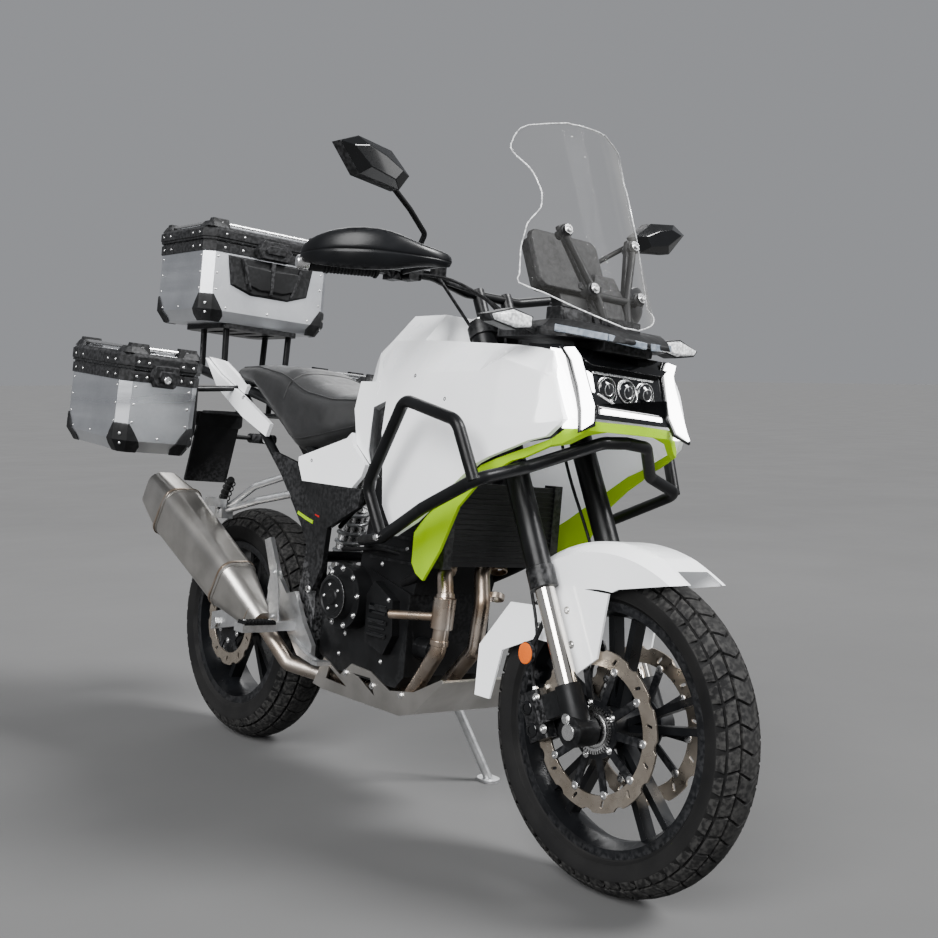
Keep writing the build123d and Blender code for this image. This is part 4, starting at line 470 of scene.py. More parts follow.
silencer_steel = blotched("brushed_silencer", (0.40, 0.385, 0.36), (0.54, 0.52, 0.49),
                          (0.27, 0.42), (0.8, 0.012), 90.0, metal=1.0, stretch=(1, 18, 14))
fin_black = blotched("radiator_black", (0.0027, 0.0027, 0.0030), (0.0055, 0.0055, 0.0058),
                     (0.45, 0.6), (1.5, 0.05), 40.0, bare=(0.12, 0.12, 0.12))
print("metals made")

# %% Glass, lamps and mirrors
def glassy(name, tint, low, high, ior, through=1.0, dots=None):
    """Glass or a coloured lens: tint, roughness from low to high, and dots moulded inside."""
    finish, tree, shader = begin(name, IOR=ior, Transmission_Weight=through)
    tree.links.new(two_tone(tree, noise(tree, 70, 4), tint,
                            tuple(min(1, c * 1.05) for c in tint)), shader.inputs["Base Color"])
    tree.links.new(span(tree, noise(tree, 40, 5), low, high), shader.inputs["Roughness"])
    if dots:
        relief(tree, shader, pebbles(tree, dots[0]), dots[1])
    return finish


clear_screen = glassy("clear_screen", (0.90, 0.93, 0.945), 0.015, 0.05, 1.22)
signal_lens, tree, shader = begin("signal_lens", IOR=1.4, Coat_Weight=0.6, Coat_Roughness=0.04)
tree.links.new(two_tone(tree, pebbles(tree, 6.0), (0.92, 0.93, 0.93), (0.30, 0.30, 0.31),
                        0.15, 0.75), shader.inputs["Base Color"])
tree.links.new(span(tree, noise(tree, 5, 3), 0.12, 0.3), shader.inputs["Roughness"])
relief(tree, shader, pebbles(tree, 6.0), 0.8)
orange_lens = glassy("orange_reflector", (0.85, 0.16, 0.012), 0.1, 0.2, 1.4, 0.25, (3.5, 0.5))
red_lens = glassy("red_lens", (0.55, 0.012, 0.010), 0.08, 0.16, 1.4, 0.35, (5.0, 0.5))
dark_glass = blotched("dark_screen_glass", (0.0027, 0.0030, 0.0039), (0.0050, 0.0055, 0.0066),
                      (0.05, 0.1), (6.0, 0.004), 60.0, Coat_Weight=0.8, Coat_Roughness=0.03)
mirror_glass = blotched("mirror_glass", (0.80, 0.82, 0.84), (0.86, 0.88, 0.90),
                        (0.015, 0.03), (20.0, 0.001), 90.0, metal=1.0)
lamp_white = blotched("lit_white_plastic", (0.86, 0.88, 0.90), (0.93, 0.945, 0.96),
                      (0.2, 0.3), (2.0, 0.02), 30.0,
                      Emission_Color=(1, 1, 1, 1), Emission_Strength=9)
print("glass and lamps made")

# %% [markdown]
# ## Finish every solid
# Most solids already have the right shape. They only want rounded edges, about as wide as the
# real part's, and the finish of their own stuff. Sheet metal gets a tiny bevel, mouldings a
# wider one.

# %% Finishes and edges for the solids
DRESSED = {
    "front_axle": (bright_steel, 1.0), "fork_feet": (engine_black, 2.5),
    "fork_sliders": (fork_chrome, 0.6), "fork_tubes": (powder_black, 1.2),
    "triple_clamps": (powder_black, 2.0), "handlebar": (powder_black, 0.8),
    "grips": (grip_black, 1.2), "front_calipers": (powder_black, 4.0),
    "front_fender": (gloss_white, 1.6), "mirrors": (grained_black, 3.0),
    "handguards": (grained_black, 2.4), "front_rim": (rim_black, 1.6),
    "front_discs": (bronze_steel, 0.5), "rear_rim": (rim_black, 1.6),
    "rear_disc": (bronze_steel, 0.5), "rear_sprocket": (chain_metal, 0.8),
    "rear_axle": (bright_steel, 1.0), "rear_caliper": (powder_black, 3.0),
    "engine": (engine_black, 3.0), "exhaust_headers": (heated_steel, 0.8),
    "silencer": (silencer_steel, 1.6), "main_frame": (powder_black, 1.0),
    "swingarm": (cast_silver, 3.0), "rear_shock": (bright_steel, 1.0),
    "radiator": (fin_black, 0.8), "skid_plate": (silencer_steel, 1.0),
    "crash_bars": (powder_black, 1.0), "stand_bracket": (powder_black, 1.5),
    "side_stand": (cast_silver, 1.5), "tank": (gloss_white, 4.0),
    "side_fairings": (gloss_white, 2.0), "side_panels": (gloss_white, 3.0),
    "side_covers": (grained_black, 2.0), "accent_panels": (neon_plastic, 1.4),
    "cowl": (grained_black, 2.5), "headlight": (gloss_black, 2.0),
    "lamps": (lamp_white, 1.5), "screen_bracket": (grained_black, 1.5),
    "windscreen": (clear_screen, 1.0), "dash": (grained_black, 3.0),
    "turn_signals": (grained_black, 1.5), "foot_pegs": (cast_silver, 1.2),
    "rear_fender": (grained_black, 1.8), "luggage_racks": (powder_black, 1.0),
    "top_case": (case_sheet, 1.2), "pannier_left": (case_sheet, 1.2),
    "pannier_right": (case_sheet, 1.2), "top_case_lid": (case_sheet, 1.2),
    "pannier_lid_left": (case_sheet, 1.2), "pannier_lid_right": (case_sheet, 1.2),
}
for solid, (finish, width) in DRESSED.items():
    soften(solid, finish, width, 0.1 if solid == "front_fender" else 1.0)
print(len(DRESSED), "solids dressed; left for later:", sorted(set(NODES) - set(DRESSED)))

# %% [markdown]
# ## Tyres
# A dual-purpose tyre has a smooth carcass and big blocks with narrow channels between them:
# a chevron along the middle, slanted blocks beside it and shoulder blocks that turn down the
# side. Each block is a strip of stations laid on the tread's arch, so it bends with it. The
# blocks' tops are the surface the solid gives; the channels are cut below it.

# %% Tread blocks on a carcass
CROWN_SHARE = 0.70
TREAD_DEEP, TREAD_GAP, BLOCK_FLARE = 7.5, 5.5, 1.6
FRONT_ROWS, REAR_ROWS = 46, 44


def arch_radius(half):
    return (1 + CROWN_SHARE ** 2) * half / (2 * CROWN_SHARE)


def tread_spot(radius, half, across, turn, deep):
    """A point on the tread: across in mm round the arch, turn in radians round the wheel."""
    crown = arch_radius(half)
    angle = across / crown
    out = radius - crown + (crown - deep) * math.cos(angle)
    return Vector(((crown - deep) * math.sin(angle), out * math.sin(turn),
                   out * math.cos(turn)))


def tread_block(mesh, radius, half, row, stations):
    """A block through stations of (across, start, end), in mm along the crown."""
    rings = []
    for i, (across, start, end) in enumerate(stations):
        shift = {0: -BLOCK_FLARE, len(stations) - 1: BLOCK_FLARE}.get(i, 0.0)
        rings.append([mesh.verts.new(tread_spot(radius, half, across + out,
                                                row + along / radius, deep))
                      for out, along, deep in (
                          (shift, start - BLOCK_FLARE, TREAD_DEEP + 1), (0, start, 0),
                          (0, end, 0), (shift, end + BLOCK_FLARE, TREAD_DEEP + 1))])
    for low, high in zip(rings, rings[1:]):
        for k in range(3):
            mesh.faces.new((low[k], low[k + 1], high[k + 1], high[k]))
    mesh.faces.new(rings[0])
    mesh.faces.new(rings[-1][::-1])


def tyre(name, node, centre, radius, half, flange, bead_half, bead, rows):
    """A carcass turned from one closed profile, with rows of blocks laid on it."""
    mesh = bmesh.new()
    crown = arch_radius(half)
    most = math.asin(half / crown)
    shoulder = radius - crown + crown * math.cos(most)
    profile = []
    for i in range(-10, 11):
        angle = most * i / 10
        inset = TREAD_DEEP if abs(i) < 9 else TREAD_DEEP * (10 - abs(i)) * 0.5
        profile.append((radius - crown + (crown - inset) * math.cos(angle),
                        (crown - inset) * math.sin(angle)))
    lip, swell = bead_half + 7.0, (half + bead_half + 7.0) / 2
    wall = [(shoulder - 8, half - 0.4), (shoulder - 14, half - 2.0),
            ((shoulder + flange) / 2 + 2, half - 2.2), (flange + 12, swell + 3),
            (flange + 9, swell + 3.6), (flange + 4, lip + 1.5), (flange + 1, lip - 1),
            (bead + 1, lip - 4), (bead + 0.5, bead_half - 4),
            (bead + 6, bead_half - 12), (shoulder - 10, half - 14), (radius - 17, half * 0.45)]
    turned(mesh, profile + wall + [(r, -h) for r, h in reversed(wall)], faced((1, 0, 0)),
           steps=120, closed=True)
    pitch = math.tau / rows
    step = pitch * radius
    limit = crown * most
    first, second = 0.33 * limit, 0.40 * limit
    third, fourth = 0.70 * limit, 0.76 * limit
    for row in range(rows):
        turn = row * pitch
        tread_block(mesh, radius, half, turn,
                    [(s * first, abs(s) * 13, abs(s) * 13 + step - TREAD_GAP)
                     for s in (-1, -0.5, 0, 0.5, 1)])
        for side in (-1, 1):
            tread_block(mesh, radius, half, turn + side * pitch * 0.12,
                        [(side * (second + (third - second) * t), step * 0.55 - 9 * t,
                          step * 1.55 - TREAD_GAP * 1.2 - 9 * t) for t in (0, 0.5, 1)])
            tread_block(mesh, radius, half, turn,
                        [(side * (fourth + (limit * 0.995 - fourth) * t),
                          step * 0.18 + 3 * t, step * 1.18 - TREAD_GAP * 1.6 - 3 * t)
                         for t in (0, 0.5, 1)])
    mesh.transform(Matrix.Translation(centre))
    piece(name, mesh, tyre_black, BODY_OF[node], [node], edge=0.9, angle=44,
          parts=1)


REAR_AXLE = Vector((0, 700.0, 323.12))
tyre("front_tyre_tread", "front_tyre", FRONT_AXLE, 330.0, 58.0, 251.0, 34.0, 239.0, FRONT_ROWS)
tyre("rear_tyre_tread", "rear_tyre", REAR_AXLE, 323.0, 76.0, 226.0, 58.0, 214.0, REAR_ROWS)
print("two tyres with", FRONT_ROWS + REAR_ROWS, "rows of blocks")

# %% [markdown]
# ## The drive chain
# A chain is pairs of side plates on rollers: every second pair sits outside its neighbours.
# The pins lie evenly along the loop round the two sprockets, so the loop's length is divided
# into an even number of links first.

# %% Links round two sprockets
def heading(angle):
    return Vector((math.cos(angle), math.sin(angle)))


def loop_points(front, rear, small, large, count):
    """Pin places along the belt line round two wheels, in (y, z)."""
    gap = (rear - front).length
    tilt = math.atan2(rear.y - front.y, rear.x - front.x)
    lean = math.asin((large - small) / gap)
    run = gap * math.cos(lean)
    top, low = tilt + math.pi / 2 + lean, tilt - math.pi / 2 - lean
    around_rear = large * (math.pi + 2 * lean)
    around_front = small * (math.pi - 2 * lean)
    total = 2 * run + around_rear + around_front
    spots = []
    for i in range(count):
        s = total * i / count
        if s < run:
            spots.append((front + small * heading(top)).lerp(rear + large * heading(top),
                                                             s / run))
        elif s < run + around_rear:
            spots.append(rear + large * heading(top - (s - run) / large))
        elif s < 2 * run + around_rear:
            spots.append((rear + large * heading(low)).lerp(front + small * heading(low),
                                                            (s - run - around_rear) / run))
        else:
            spots.append(front + small * heading(low - (s - 2 * run - around_rear) / small))
    return spots


def link_outline(a, b):
    """A figure-eight plate round two pins."""
    along = (b - a).normalized()
    side = Vector((-along.y, along.x))
    middle = (a + b) / 2
    points = []
    for pin, sign in ((b, 1), (a, -1)):
        for i in range(-3, 4):
            angle = i * math.radians(34)
            points.append(pin + LINK_RADIUS * sign * (math.cos(angle) * along
                                                      + math.sin(angle) * side))
        points.append(middle + sign * LINK_WAIST * side)
    return [(p.x, p.y) for p in points]


FRONT_SPROCKET, REAR_SPROCKET = Vector((168.0, 442.0)), Vector((REAR_AXLE.y, REAR_AXLE.z))
FRONT_PITCH, REAR_PITCH = 34.0, 92.0
CHAIN_X, LINKS, LINK_RADIUS, LINK_WAIST = 92.0, 94, 6.6, 4.6
SIDEWAYS = axes((0, 1, 0), (0, 0, 1), (1, 0, 0))
pins = loop_points(FRONT_SPROCKET, REAR_SPROCKET, FRONT_PITCH, REAR_PITCH, LINKS)
chain = bmesh.new()
for i, (a, b) in enumerate(zip(pins, pins[1:] + pins[:1])):
    for x in (-4.4, 2.6) if i % 2 else (-6.6, 4.8):
        cut(chain, link_outline(a, b), 1.8, moved(CHAIN_X + x, 0, 0) @ SIDEWAYS)
    turned(chain, [(0, -7.2), (2.4, -7.2), (2.4, -2.6), (4.9, -2.6), (4.9, 2.6), (2.4, 2.6),
                   (2.4, 7.2), (0, 7.2)], moved(CHAIN_X, a.x, a.y) @ SIDEWAYS, steps=9)
piece("chain_links", chain, chain_metal, BODY_OF["drive_chain"],
      ["drive_chain"], sharp=30)
print("chain of", LINKS, "links, pitch", round((pins[1] - pins[0]).length, 2), "mm")

# %% [markdown]
# ## The seat
# The rider sits low and narrow at the front, the passenger on a step behind. The cover is
# vinyl stretched over foam, so its sections are soft, a little crowned, and fuller at the
# sides than at the edge that tucks under. Raised piping runs where panels are sewn together.

# %% A padded seat and its seams
# Each station says y, the half-width on top and below, and the height of the top and the foot.
SEAT_STATIONS = [(94, 62, 84, 985, 900), (150, 84, 112, 976, 876), (250, 118, 146, 978, 842),
                 (360, 132, 156, 1004, 812), (470, 126, 146, 1042, 880),
                 (620, 116, 130, 1050, 985), (766, 96, 108, 1047, 1000)]
SEAT_CROWN, SEAT_FULL, STEP_Y = 5.0, 1.012, 432


def seat_station(y):
    """The seat's measures at y, between the stations listed."""
    for a, b in zip(SEAT_STATIONS, SEAT_STATIONS[1:]):
        if a[0] <= y <= b[0]:
            t = (y - a[0]) / (b[0] - a[0])
            return [p + (q - p) * t for p, q in zip(a, b)]
    return list(SEAT_STATIONS[0 if y < SEAT_STATIONS[0][0] else -1])


def seat_section(y):
    """A closed section: flat underneath, crowned on top, with full round shoulders."""
    _, top_half, low_half, high, low = seat_station(y)
    points = []
    for angle in circle(40):
        c, s = math.cos(angle), math.sin(angle)
        up = math.copysign(abs(s) ** 0.62, s)
        out = math.copysign(abs(c) ** 0.55, c)
        share = (up + 1) / 2
        half = low_half + (top_half - low_half) * share
        z = low + (high - 3 - low) * share
        z += SEAT_CROWN * max(0.0, 1 - (out * half / top_half) ** 2) * max(0.0, up)
        points.append((out * half * SEAT_FULL, y, z))
    return points


seat, sections = bmesh.new(), []
first_y, last_y = SEAT_STATIONS[0][0], SEAT_STATIONS[-1][0]
spots = ([first_y + 3] + [first_y + (last_y - first_y) * i / 44 for i in range(1, 44)]
         + [last_y - 3])
for i, y in enumerate(spots):
    section = seat_section(y)
    end = min(i, len(spots) - 1 - i)
    if end < 3:
        middle = Vector((0, y, (seat_station(y)[3] + seat_station(y)[4]) / 2))
        section = [middle + (Vector(p) - middle) * (0.80, 0.93, 0.985)[end] for p in section]
    step = math.exp(-((y - STEP_Y) / 13) ** 2) * 3.0
    sections.append([(x * (1 - step * 0.004), py, z - (step if z > 960 else 0))
                     for x, py, z in section])
lofted(seat, sections)
cushion = piece("padded_seat", seat, seat_cover, "root", ["seat"], rounds=1,
                sharp=75)


def seam(name, points, radius):
    """Piping or a sewn seam along the cover, as its own piece."""
    mesh = bmesh.new()
    bar(mesh, points, radius, sides=8, each=3)
    piece(name, mesh, seat_cover, "root")


def over_seat(y, share):
    """A point on the cover: share 0 is the top's middle, 1 the side, 1.6 low on the side."""
    section = seat_section(y)
    turn = (0.25 - share * 0.25) * len(section)
    low = int(math.floor(turn)) % len(section)
    high = (low + 1) % len(section)
    return Vector(section[low]).lerp(Vector(section[high]), turn - math.floor(turn))


for side, label in ((-1, "right"), (1, "left")):
    edge = [over_seat(y, 0.60) for y in range(110, 756, 34)]
    seam("seat_piping_" + label, [(side * abs(p.x) * 1.002, p.y, p.z + 0.4) for p in edge], 2.0)
    low = [over_seat(y, 1.3) for y in range(120, 752, 42)]
    seam("seat_seam_" + label, [(side * abs(p.x) * 1.003, p.y, p.z) for p in low], 1.3)
across = [over_seat(STEP_Y, share) for share in (0.95, 0.75, 0.6, 0.4, 0.2, 0.0)]
seam("seat_step_seam", [Vector((-abs(p.x), p.y, p.z - 2)) for p in across]
     + [Vector((abs(p.x), p.y, p.z - 2)) for p in reversed(across[:-1])], 1.8)
print("seat padded, with five seams")

# %% [markdown]
# ## Aluminium cases
# Touring cases are folded sheet riveted to black glass-filled corners. Two black bands seal
# the lid, shoes guard the lower corners, holders on the lid carry bright tie bars, and rows
# of rivets run down the folds. All three cases are dressed by one function, each in its own
# frame, so the panniers' tilt costs nothing.

# %% Dress a case
CASE_CHAMFER, LID_OVER, TIE_RISE = 26.0, 5.0, 24.0
BEVEL_IN, BEVEL_UP = 20.0, 30.0
HOLDER_WIDE, TIE_RADIUS = 30.0, 5.6
CORNERS = [(sx, sy) for sx in (-1, 1) for sy in (-1, 1)]
BAND_STUDS = (-0.8, -0.5, 0.5, 0.8)
HOLDER = [(-12, 0), (-64, 0), (-50, -34), (-34, -50), (0, -64), (0, -12)]


def case_outline(across, deep, out):
    """A case's chamfered outline seen from above, grown by out."""
    x, y, cut_off = across / 2 + out, deep / 2 + out, CASE_CHAMFER + out * 0.6
    return [(x - cut_off, y), (x, y - cut_off), (x, -y + cut_off), (x - cut_off, -y),
            (-x + cut_off, -y), (-x, -y + cut_off), (-x, y - cut_off), (-x + cut_off, y)]


def band(mesh, across, deep, place, low, high, out, inner=-1.0):
    """A belt round the case, from low to high, standing out by out."""
    rings = [[mesh.verts.new(place @ Vector((x, y, z)))
              for x, y in case_outline(across, deep, grow)]
             for z, grow in ((low, out), (high, out), (high, inner), (low, inner))]
    for a, b in zip(rings, rings[1:] + rings[:1]):
        ring_faces(mesh, a, b)


def shoe(mesh, studs, across, deep, place, sx, sy):
    """A black boot round one lower corner, tapering upwards along the fold, with two studs."""
    sections = []
    for z, out, reach in ((-1.5, -BEVEL_IN + 2.5, 30), (BEVEL_UP * 0.5, -BEVEL_IN * 0.5 + 3, 38),
                          (BEVEL_UP, 3.2, 34), (BEVEL_UP + 22, 3.2, 20),
                          (BEVEL_UP + 40, 3.0, 7), (BEVEL_UP + 44, 1.5, 5)):
        x, y = across / 2 + out, deep / 2 + out
        cut_off = CASE_CHAMFER + out * 0.6
        outer = [(x - cut_off - reach, y), (x - cut_off, y), (x, y - cut_off),
                 (x, y - cut_off - reach)]
        thick = max(2.0, out + 1.5) if out > 0 else 3.5
        inner = [(px - (thick if px > x - 1 else 0), py - thick * (py > y - 1))
                 for px, py in outer]
        inner[1] = (x - cut_off - 1, y - thick)
        inner[2] = (x - thick, y - cut_off - 1)
        sections.append([place @ Vector((sx * px, sy * py, z))
                         for px, py in outer + inner[::-1]])
    lofted(mesh, sections)
    for z in (BEVEL_UP - 8, BEVEL_UP + 17):
        inward = 9.5 + 0.9 * BEVEL_IN * max(0.0, 1 - z / BEVEL_UP)
        rivet(studs, place @ Vector((sx * (across / 2 - inward), sy * (deep / 2 - inward), z)),
              place.to_3x3() @ Vector((sx, sy, 0)), 4.2)


def facet_pad(mesh, place, half_outline, thick, ridge):
    """A moulded pad with chamfered edges and a raised middle plate."""
    outline = half_outline + [(-x, z) for x, z in reversed(half_outline) if x]
    cut(mesh, outline, thick, place, shrink=thick * 0.8)
    cut(mesh, scaled(outline, 0.66), ridge, place @ moved(0, 0, thick - 0.5), shrink=ridge * 1.2)


def stud_row(mesh, across, deep, place, shares, inset, out, z, radius, tall):
    """The same rivets along all four faces, at shares of the half-width less inset."""
    turn = place.to_3x3()
    for side in (-1, 1):
        for share in shares:
            for spot, way in (
                    ((side * (across / 2 + out), share * (deep / 2 - inset), z), (side, 0, 0)),
                    ((share * (across / 2 - inset), side * (deep / 2 + out), z), (0, side, 0))):
                rivet(mesh, place @ Vector(spot), turn @ Vector(way), radius, tall)


def dress_case(label, size, lid_tall, place, lid, wide_pad):
    """Trim, rivets, tie bars and a latch for one case, with place at its tub's foot."""
    across, deep, tall = size
    top_z = tall + 0.5 + lid_tall - TIE_RISE
    tub_body, lid_body = BODY_OF[label], BODY_OF[lid]
    up = place.to_3x3() @ Vector((0, 0, 1))
    NODES[lid].data.materials[0] = grained_black
    trim, studs = bmesh.new(), bmesh.new()
    band(trim, across, deep, place, tall - 32, tall - 5.5, 3.8)
    band(trim, across, deep, place, tall - 7, tall - 0.2, 0.4)
    for sx, sy in CORNERS:
        shoe(trim, studs, across, deep, place, sx, sy)
    for z in (tall - 46, tall - 92, tall - 138):
        stud_row(studs, across, deep, place, (-1, 1), CASE_CHAMFER + 9, 0, z, 3.4, 1.5)
    stud_row(studs, across, deep, place, (-0.66, 0, 0.66), 0, 0, BEVEL_UP + 9, 3.4, 1.5)
    stud_row(studs, across, deep, place, BAND_STUDS, 14, 3.8, tall - 19, 3.8, 1.6)
    piece(label + "_tub_trim", trim, grained_black, tub_body, edge=1.2,
          angle=30)
    piece(label + "_tub_rivets", studs, bright_steel, tub_body)
    top, ties, cap = bmesh.new(), bmesh.new(), bmesh.new()
    bar_x, bar_y = across / 2 - HOLDER_WIDE / 2 - 8, deep / 2 - HOLDER_WIDE / 2 - 8
    high = top_z + TIE_RISE / 2
    for side in (-1, 1):
        for ends in (((-bar_x, side * bar_y, high), (bar_x, side * bar_y, high)),
                     ((side * bar_x, -bar_y, high), (side * bar_x, bar_y, high))):
            bar(ties, [place @ Vector(p) for p in ends], TIE_RADIUS, sides=16, smooth=False)
    cut(top, case_outline(across, deep, -16), 1.2, place @ moved(0, 0, top_z - 0.4))
    for sx, sy in CORNERS:
        def on_corner(x, y, z):
            return place @ Vector((sx * (bar_x + 22 + x), sy * (bar_y + 22 + y), top_z + z))

        lofted(cap, [[on_corner(x, y, -2) for x, y in HOLDER],
                     [on_corner(x * 0.62 - 10, y * 0.62 - 10, 15) for x, y in HOLDER]])
        for x, y in ((-20, -20), (-46, -12)):
            rivet(ties, on_corner(x, y, 14.6), up, 4.0)
    band(cap, across, deep, place, tall + 7, top_z - 9, LID_OVER + 2.6, LID_OVER - 1)
    piece(label + "_lid_trim", cap, grained_black, lid_body, edge=1.2,
          angle=30)
    stud_row(ties, across, deep, place, BAND_STUDS, 14, LID_OVER + 2.6, tall + 18.5, 3.6, 1.6)
    piece(label + "_tie_bars", ties, bright_steel, lid_body)
    piece(label + "_lid_sheet", top, case_sheet, lid_body, edge=0.5)
    front = place @ stood((0, -deep / 2 - 0.2, 0), (0, -1, 0))
    latch, lock = bmesh.new(), bmesh.new()
    if wide_pad:
        facet_pad(latch, front, [(0, 84), (62, 84), (128, 106), (142, 190), (0, 190)], 9, 6)
        cut(latch, [(-4, 92), (4, 92), (7, 188), (-7, 188)], 17, front, shrink=2)
        cut(latch, [(64, 94), (71, 98), (104, 186), (92, 186)], 16.5, front, shrink=2)
        cut(latch, [(-64, 94), (-92, 186), (-104, 186), (-71, 98)], 16.5, front, shrink=2)
        hook = [(-62, 0), (-46, 30), (46, 30), (62, 0), (50, -26), (-50, -26)]
        cut(latch, hook, 24, front @ moved(0, tall - 8, 0), shrink=6)
        cut(latch, [(x * 0.6, z * 0.45) for x, z in hook], 6,
            front @ moved(0, tall - 6, 23.5), shrink=3)
        key_at = (124, tall - 16, 3.4)
    else:
        hook = [(-44, -8), (-36, 26), (36, 26), (44, -8), (30, -34), (-30, -34)]
        cut(latch, hook, 17, front @ moved(0, tall - 8, 0), shrink=5)
        cut(latch, [(x * 0.55, z * 0.5) for x, z in hook], 5,
            front @ moved(0, tall - 10, 16.5), shrink=2.5)
        key_at = (0, tall - 20, 21)
    turned(lock, [(10, 0), (10, 3.5), (8.6, 5), (5.5, 5), (5, 3.4), (0, 3.4)],
           front @ moved(*key_at), 24)
    piece(label + "_latch", latch, grained_black, tub_body, edge=1.4,
          angle=24)
    piece(label + "_lock", lock, bright_steel, tub_body)
    print(label, "dressed")


TOP_CASE, PANNIER = (414.0, 300.0, 226.0), (222.0, 345.0, 216.0)
dress_case("top_case", TOP_CASE, 62.0, moved(0, 935, 1163), "top_case_lid", wide_pad=True)
for side, label in ((1, "left"), (-1, "right")):
    dress_case("pannier_" + label, PANNIER, 66.0,
               moved(side * 378, 826, 790) @ Matrix.Rotation(math.radians(4), 4, "X"),
               "pannier_lid_" + label, wide_pad=False)

# %% [markdown]
# ## Wheels and brakes
# The front discs float on small bright bobbins, and the hub carries a toothed ring for the
# wheel-speed sensor. Behind, bolts hold the disc and the sprocket, and the sprocket gets its
# teeth.

# %% Bobbins, sensor ring, wheel bolts and sprocket teeth
DISC_X, BOBBIN_CIRCLE, BOBBINS = 66.5, 126, 10
RING_X, RING_TEETH, SPROCKET_TEETH = -72.5, 44, 40


def round_axle(axle, x, radius, count, shift=0.0):
    """Places evenly round an axle, radius away from it."""
    return [axle + Vector((x, radius * math.sin(a), radius * math.cos(a)))
            for a in circle(count, shift)]


fittings, ring = bmesh.new(), bmesh.new()
for side in (-1, 1):
    out = (side, 0, 0)
    for spot in round_axle(FRONT_AXLE, side * DISC_X, BOBBIN_CIRCLE, BOBBINS, 0.5):
        turned(fittings, [(0, -4.6), (7, -4.6), (8.5, -3.6), (8.5, 3.6), (7, 4.6), (4.2, 4.6),
                          (4, 3.0), (0, 3.0)], stood(spot, out), 14)
    for spot in round_axle(FRONT_AXLE, side * 69, 54, 5, 0.25):
        socket_screw(fittings, spot, out, 5, 4.5)
for angle in circle(RING_TEETH):
    block(ring, (3.0, 3.4, 7.0), Matrix.Translation(FRONT_AXLE)
          @ Matrix.Rotation(angle, 4, "X") @ moved(RING_X, 0, 44))
turned(ring, [(41, -1.2), (41, 1.2), (36, 1.2), (36, -1.2)],
       stood(FRONT_AXLE + Vector((RING_X, 0, 0)), (-1, 0, 0)), RING_TEETH, closed=True)
turned(ring, [(35, -2), (35, 2.4), (32, 4), (27, 4), (27, -2)],
       stood(FRONT_AXLE + Vector((-70.5, 0, 0)), (-1, 0, 0)), 36, closed=True)
piece("front_bobbins", fittings, bright_steel, "front_wheel")
piece("wheel_speed_ring", ring, bright_steel, "front_wheel")
rear_fit, teeth = bmesh.new(), bmesh.new()
for spot in round_axle(REAR_AXLE, -87.5, 52, 6):
    socket_screw(rear_fit, spot, (-1, 0, 0), 5.5, 2.5)
for spot in round_axle(REAR_AXLE, 96.0, 46, 6):
    hex_bolt(rear_fit, spot, (1, 0, 0), 6.5, 3.5)
piece("rear_wheel_bolts", rear_fit, bright_steel, "rear_wheel")
for angle in circle(SPROCKET_TEETH):
    cut(teeth, [(-2.2, -5.0), (2.2, -5.0), (2.2, 5.0), (-2.2, 5.0)], 11,
        Matrix.Translation(REAR_AXLE) @ Matrix.Rotation(angle, 4, "X")
        @ moved(CHAIN_X, 0, 84), shrink=2.6)
piece("rear_sprocket_teeth", teeth, chain_metal, "rear_wheel")
print("wheel fittings made")

# %% [markdown]
# ## The fork
# Upside-down legs: black outer tubes above, bright sliders below, a cast foot at the axle.
# The calipers hang behind the feet. Each brake hose comes down behind its leg in one smooth
# run and ends at a hex bolt.

# %% Calipers, hoses, reflectors and clamp bolts
RAKE = math.radians(26.5)
ALONG = Vector((0, math.sin(RAKE), math.cos(RAKE)))
AHEAD = Vector((0, -math.cos(RAKE), math.sin(RAKE)))


def on_leg(along, ahead, across):
    """A place on the steered frame: up along the leg, ahead of it, and to the left."""
    return FRONT_AXLE + ALONG * along + AHEAD * ahead + Vector((across, 0, 0))


def hose(mesh, points, radius, sides=10):
    bar(mesh, points, radius, sides=sides)


BRAKE_HOSE, CALIPER_X, CLAMP_X = 3.6, 103, 111
bolts, hoses, amber, rims, caps = (bmesh.new() for _ in range(5))
for side in (-1, 1):
    out = (side, 0, 0)
    for along, ahead in ((30, -104), (94, -104)):
        socket_screw(bolts, on_leg(along, ahead, side * CALIPER_X), out, 6.5, 6)
    for along, ahead in ((36, -138), (82, -138)):
        turned(caps, [(15, -6), (15, 2), (12.5, 4), (8, 4), (7.5, 2.5), (0, 2.5)],
               stood(on_leg(along, ahead, side * CALIPER_X), out), 24)
    hex_bolt(bolts, on_leg(112, -120, side * 84), tuple(ALONG), 7, 7)
    hose(hoses, [on_leg(along, ahead, side * across) for along, ahead, across in (
        (118, -122, 84), (150, -112, 88), (215, -66, 97), (310, -44, 104), (430, -40, 100),
        (560, -34, 84), (700, -22, 76))], BRAKE_HOSE)
    for height in (300, 322):
        socket_screw(bolts, on_leg(height, -30, side * CLAMP_X), tuple(-AHEAD), 4, 3)
    for along in (656, 680, 868):
        socket_screw(bolts, on_leg(along, -28, side * 108.36), tuple(-AHEAD), 5, 5)
    turned(bolts, [(20, 0), (20, 5), (17, 8), (9, 8), (8, 6), (0, 6)],
           stood(on_leg(899, 0, side * CLAMP_X), tuple(ALONG)), 30)
    hex_bolt(bolts, on_leg(26, 0, side * 139), out, 8, 4)
    place = stood(on_leg(186, -100, side * 104), (side, 0.1, 0))
    turned(rims, [(0, -3), (24, -3), (24, 3), (22, 4)], place, 32)
    turned(amber, [(22, 2.6), (22, 5), (20, 6.4), (0, 7)], place, 32)
    bar(rims, [on_leg(186, -96, side * 101), on_leg(214, -60, side * 100),
               on_leg(240, -24, side * 102)], 5)
socket_screw(bolts, on_leg(-10, -24, -128), tuple(-AHEAD), 6, 8)
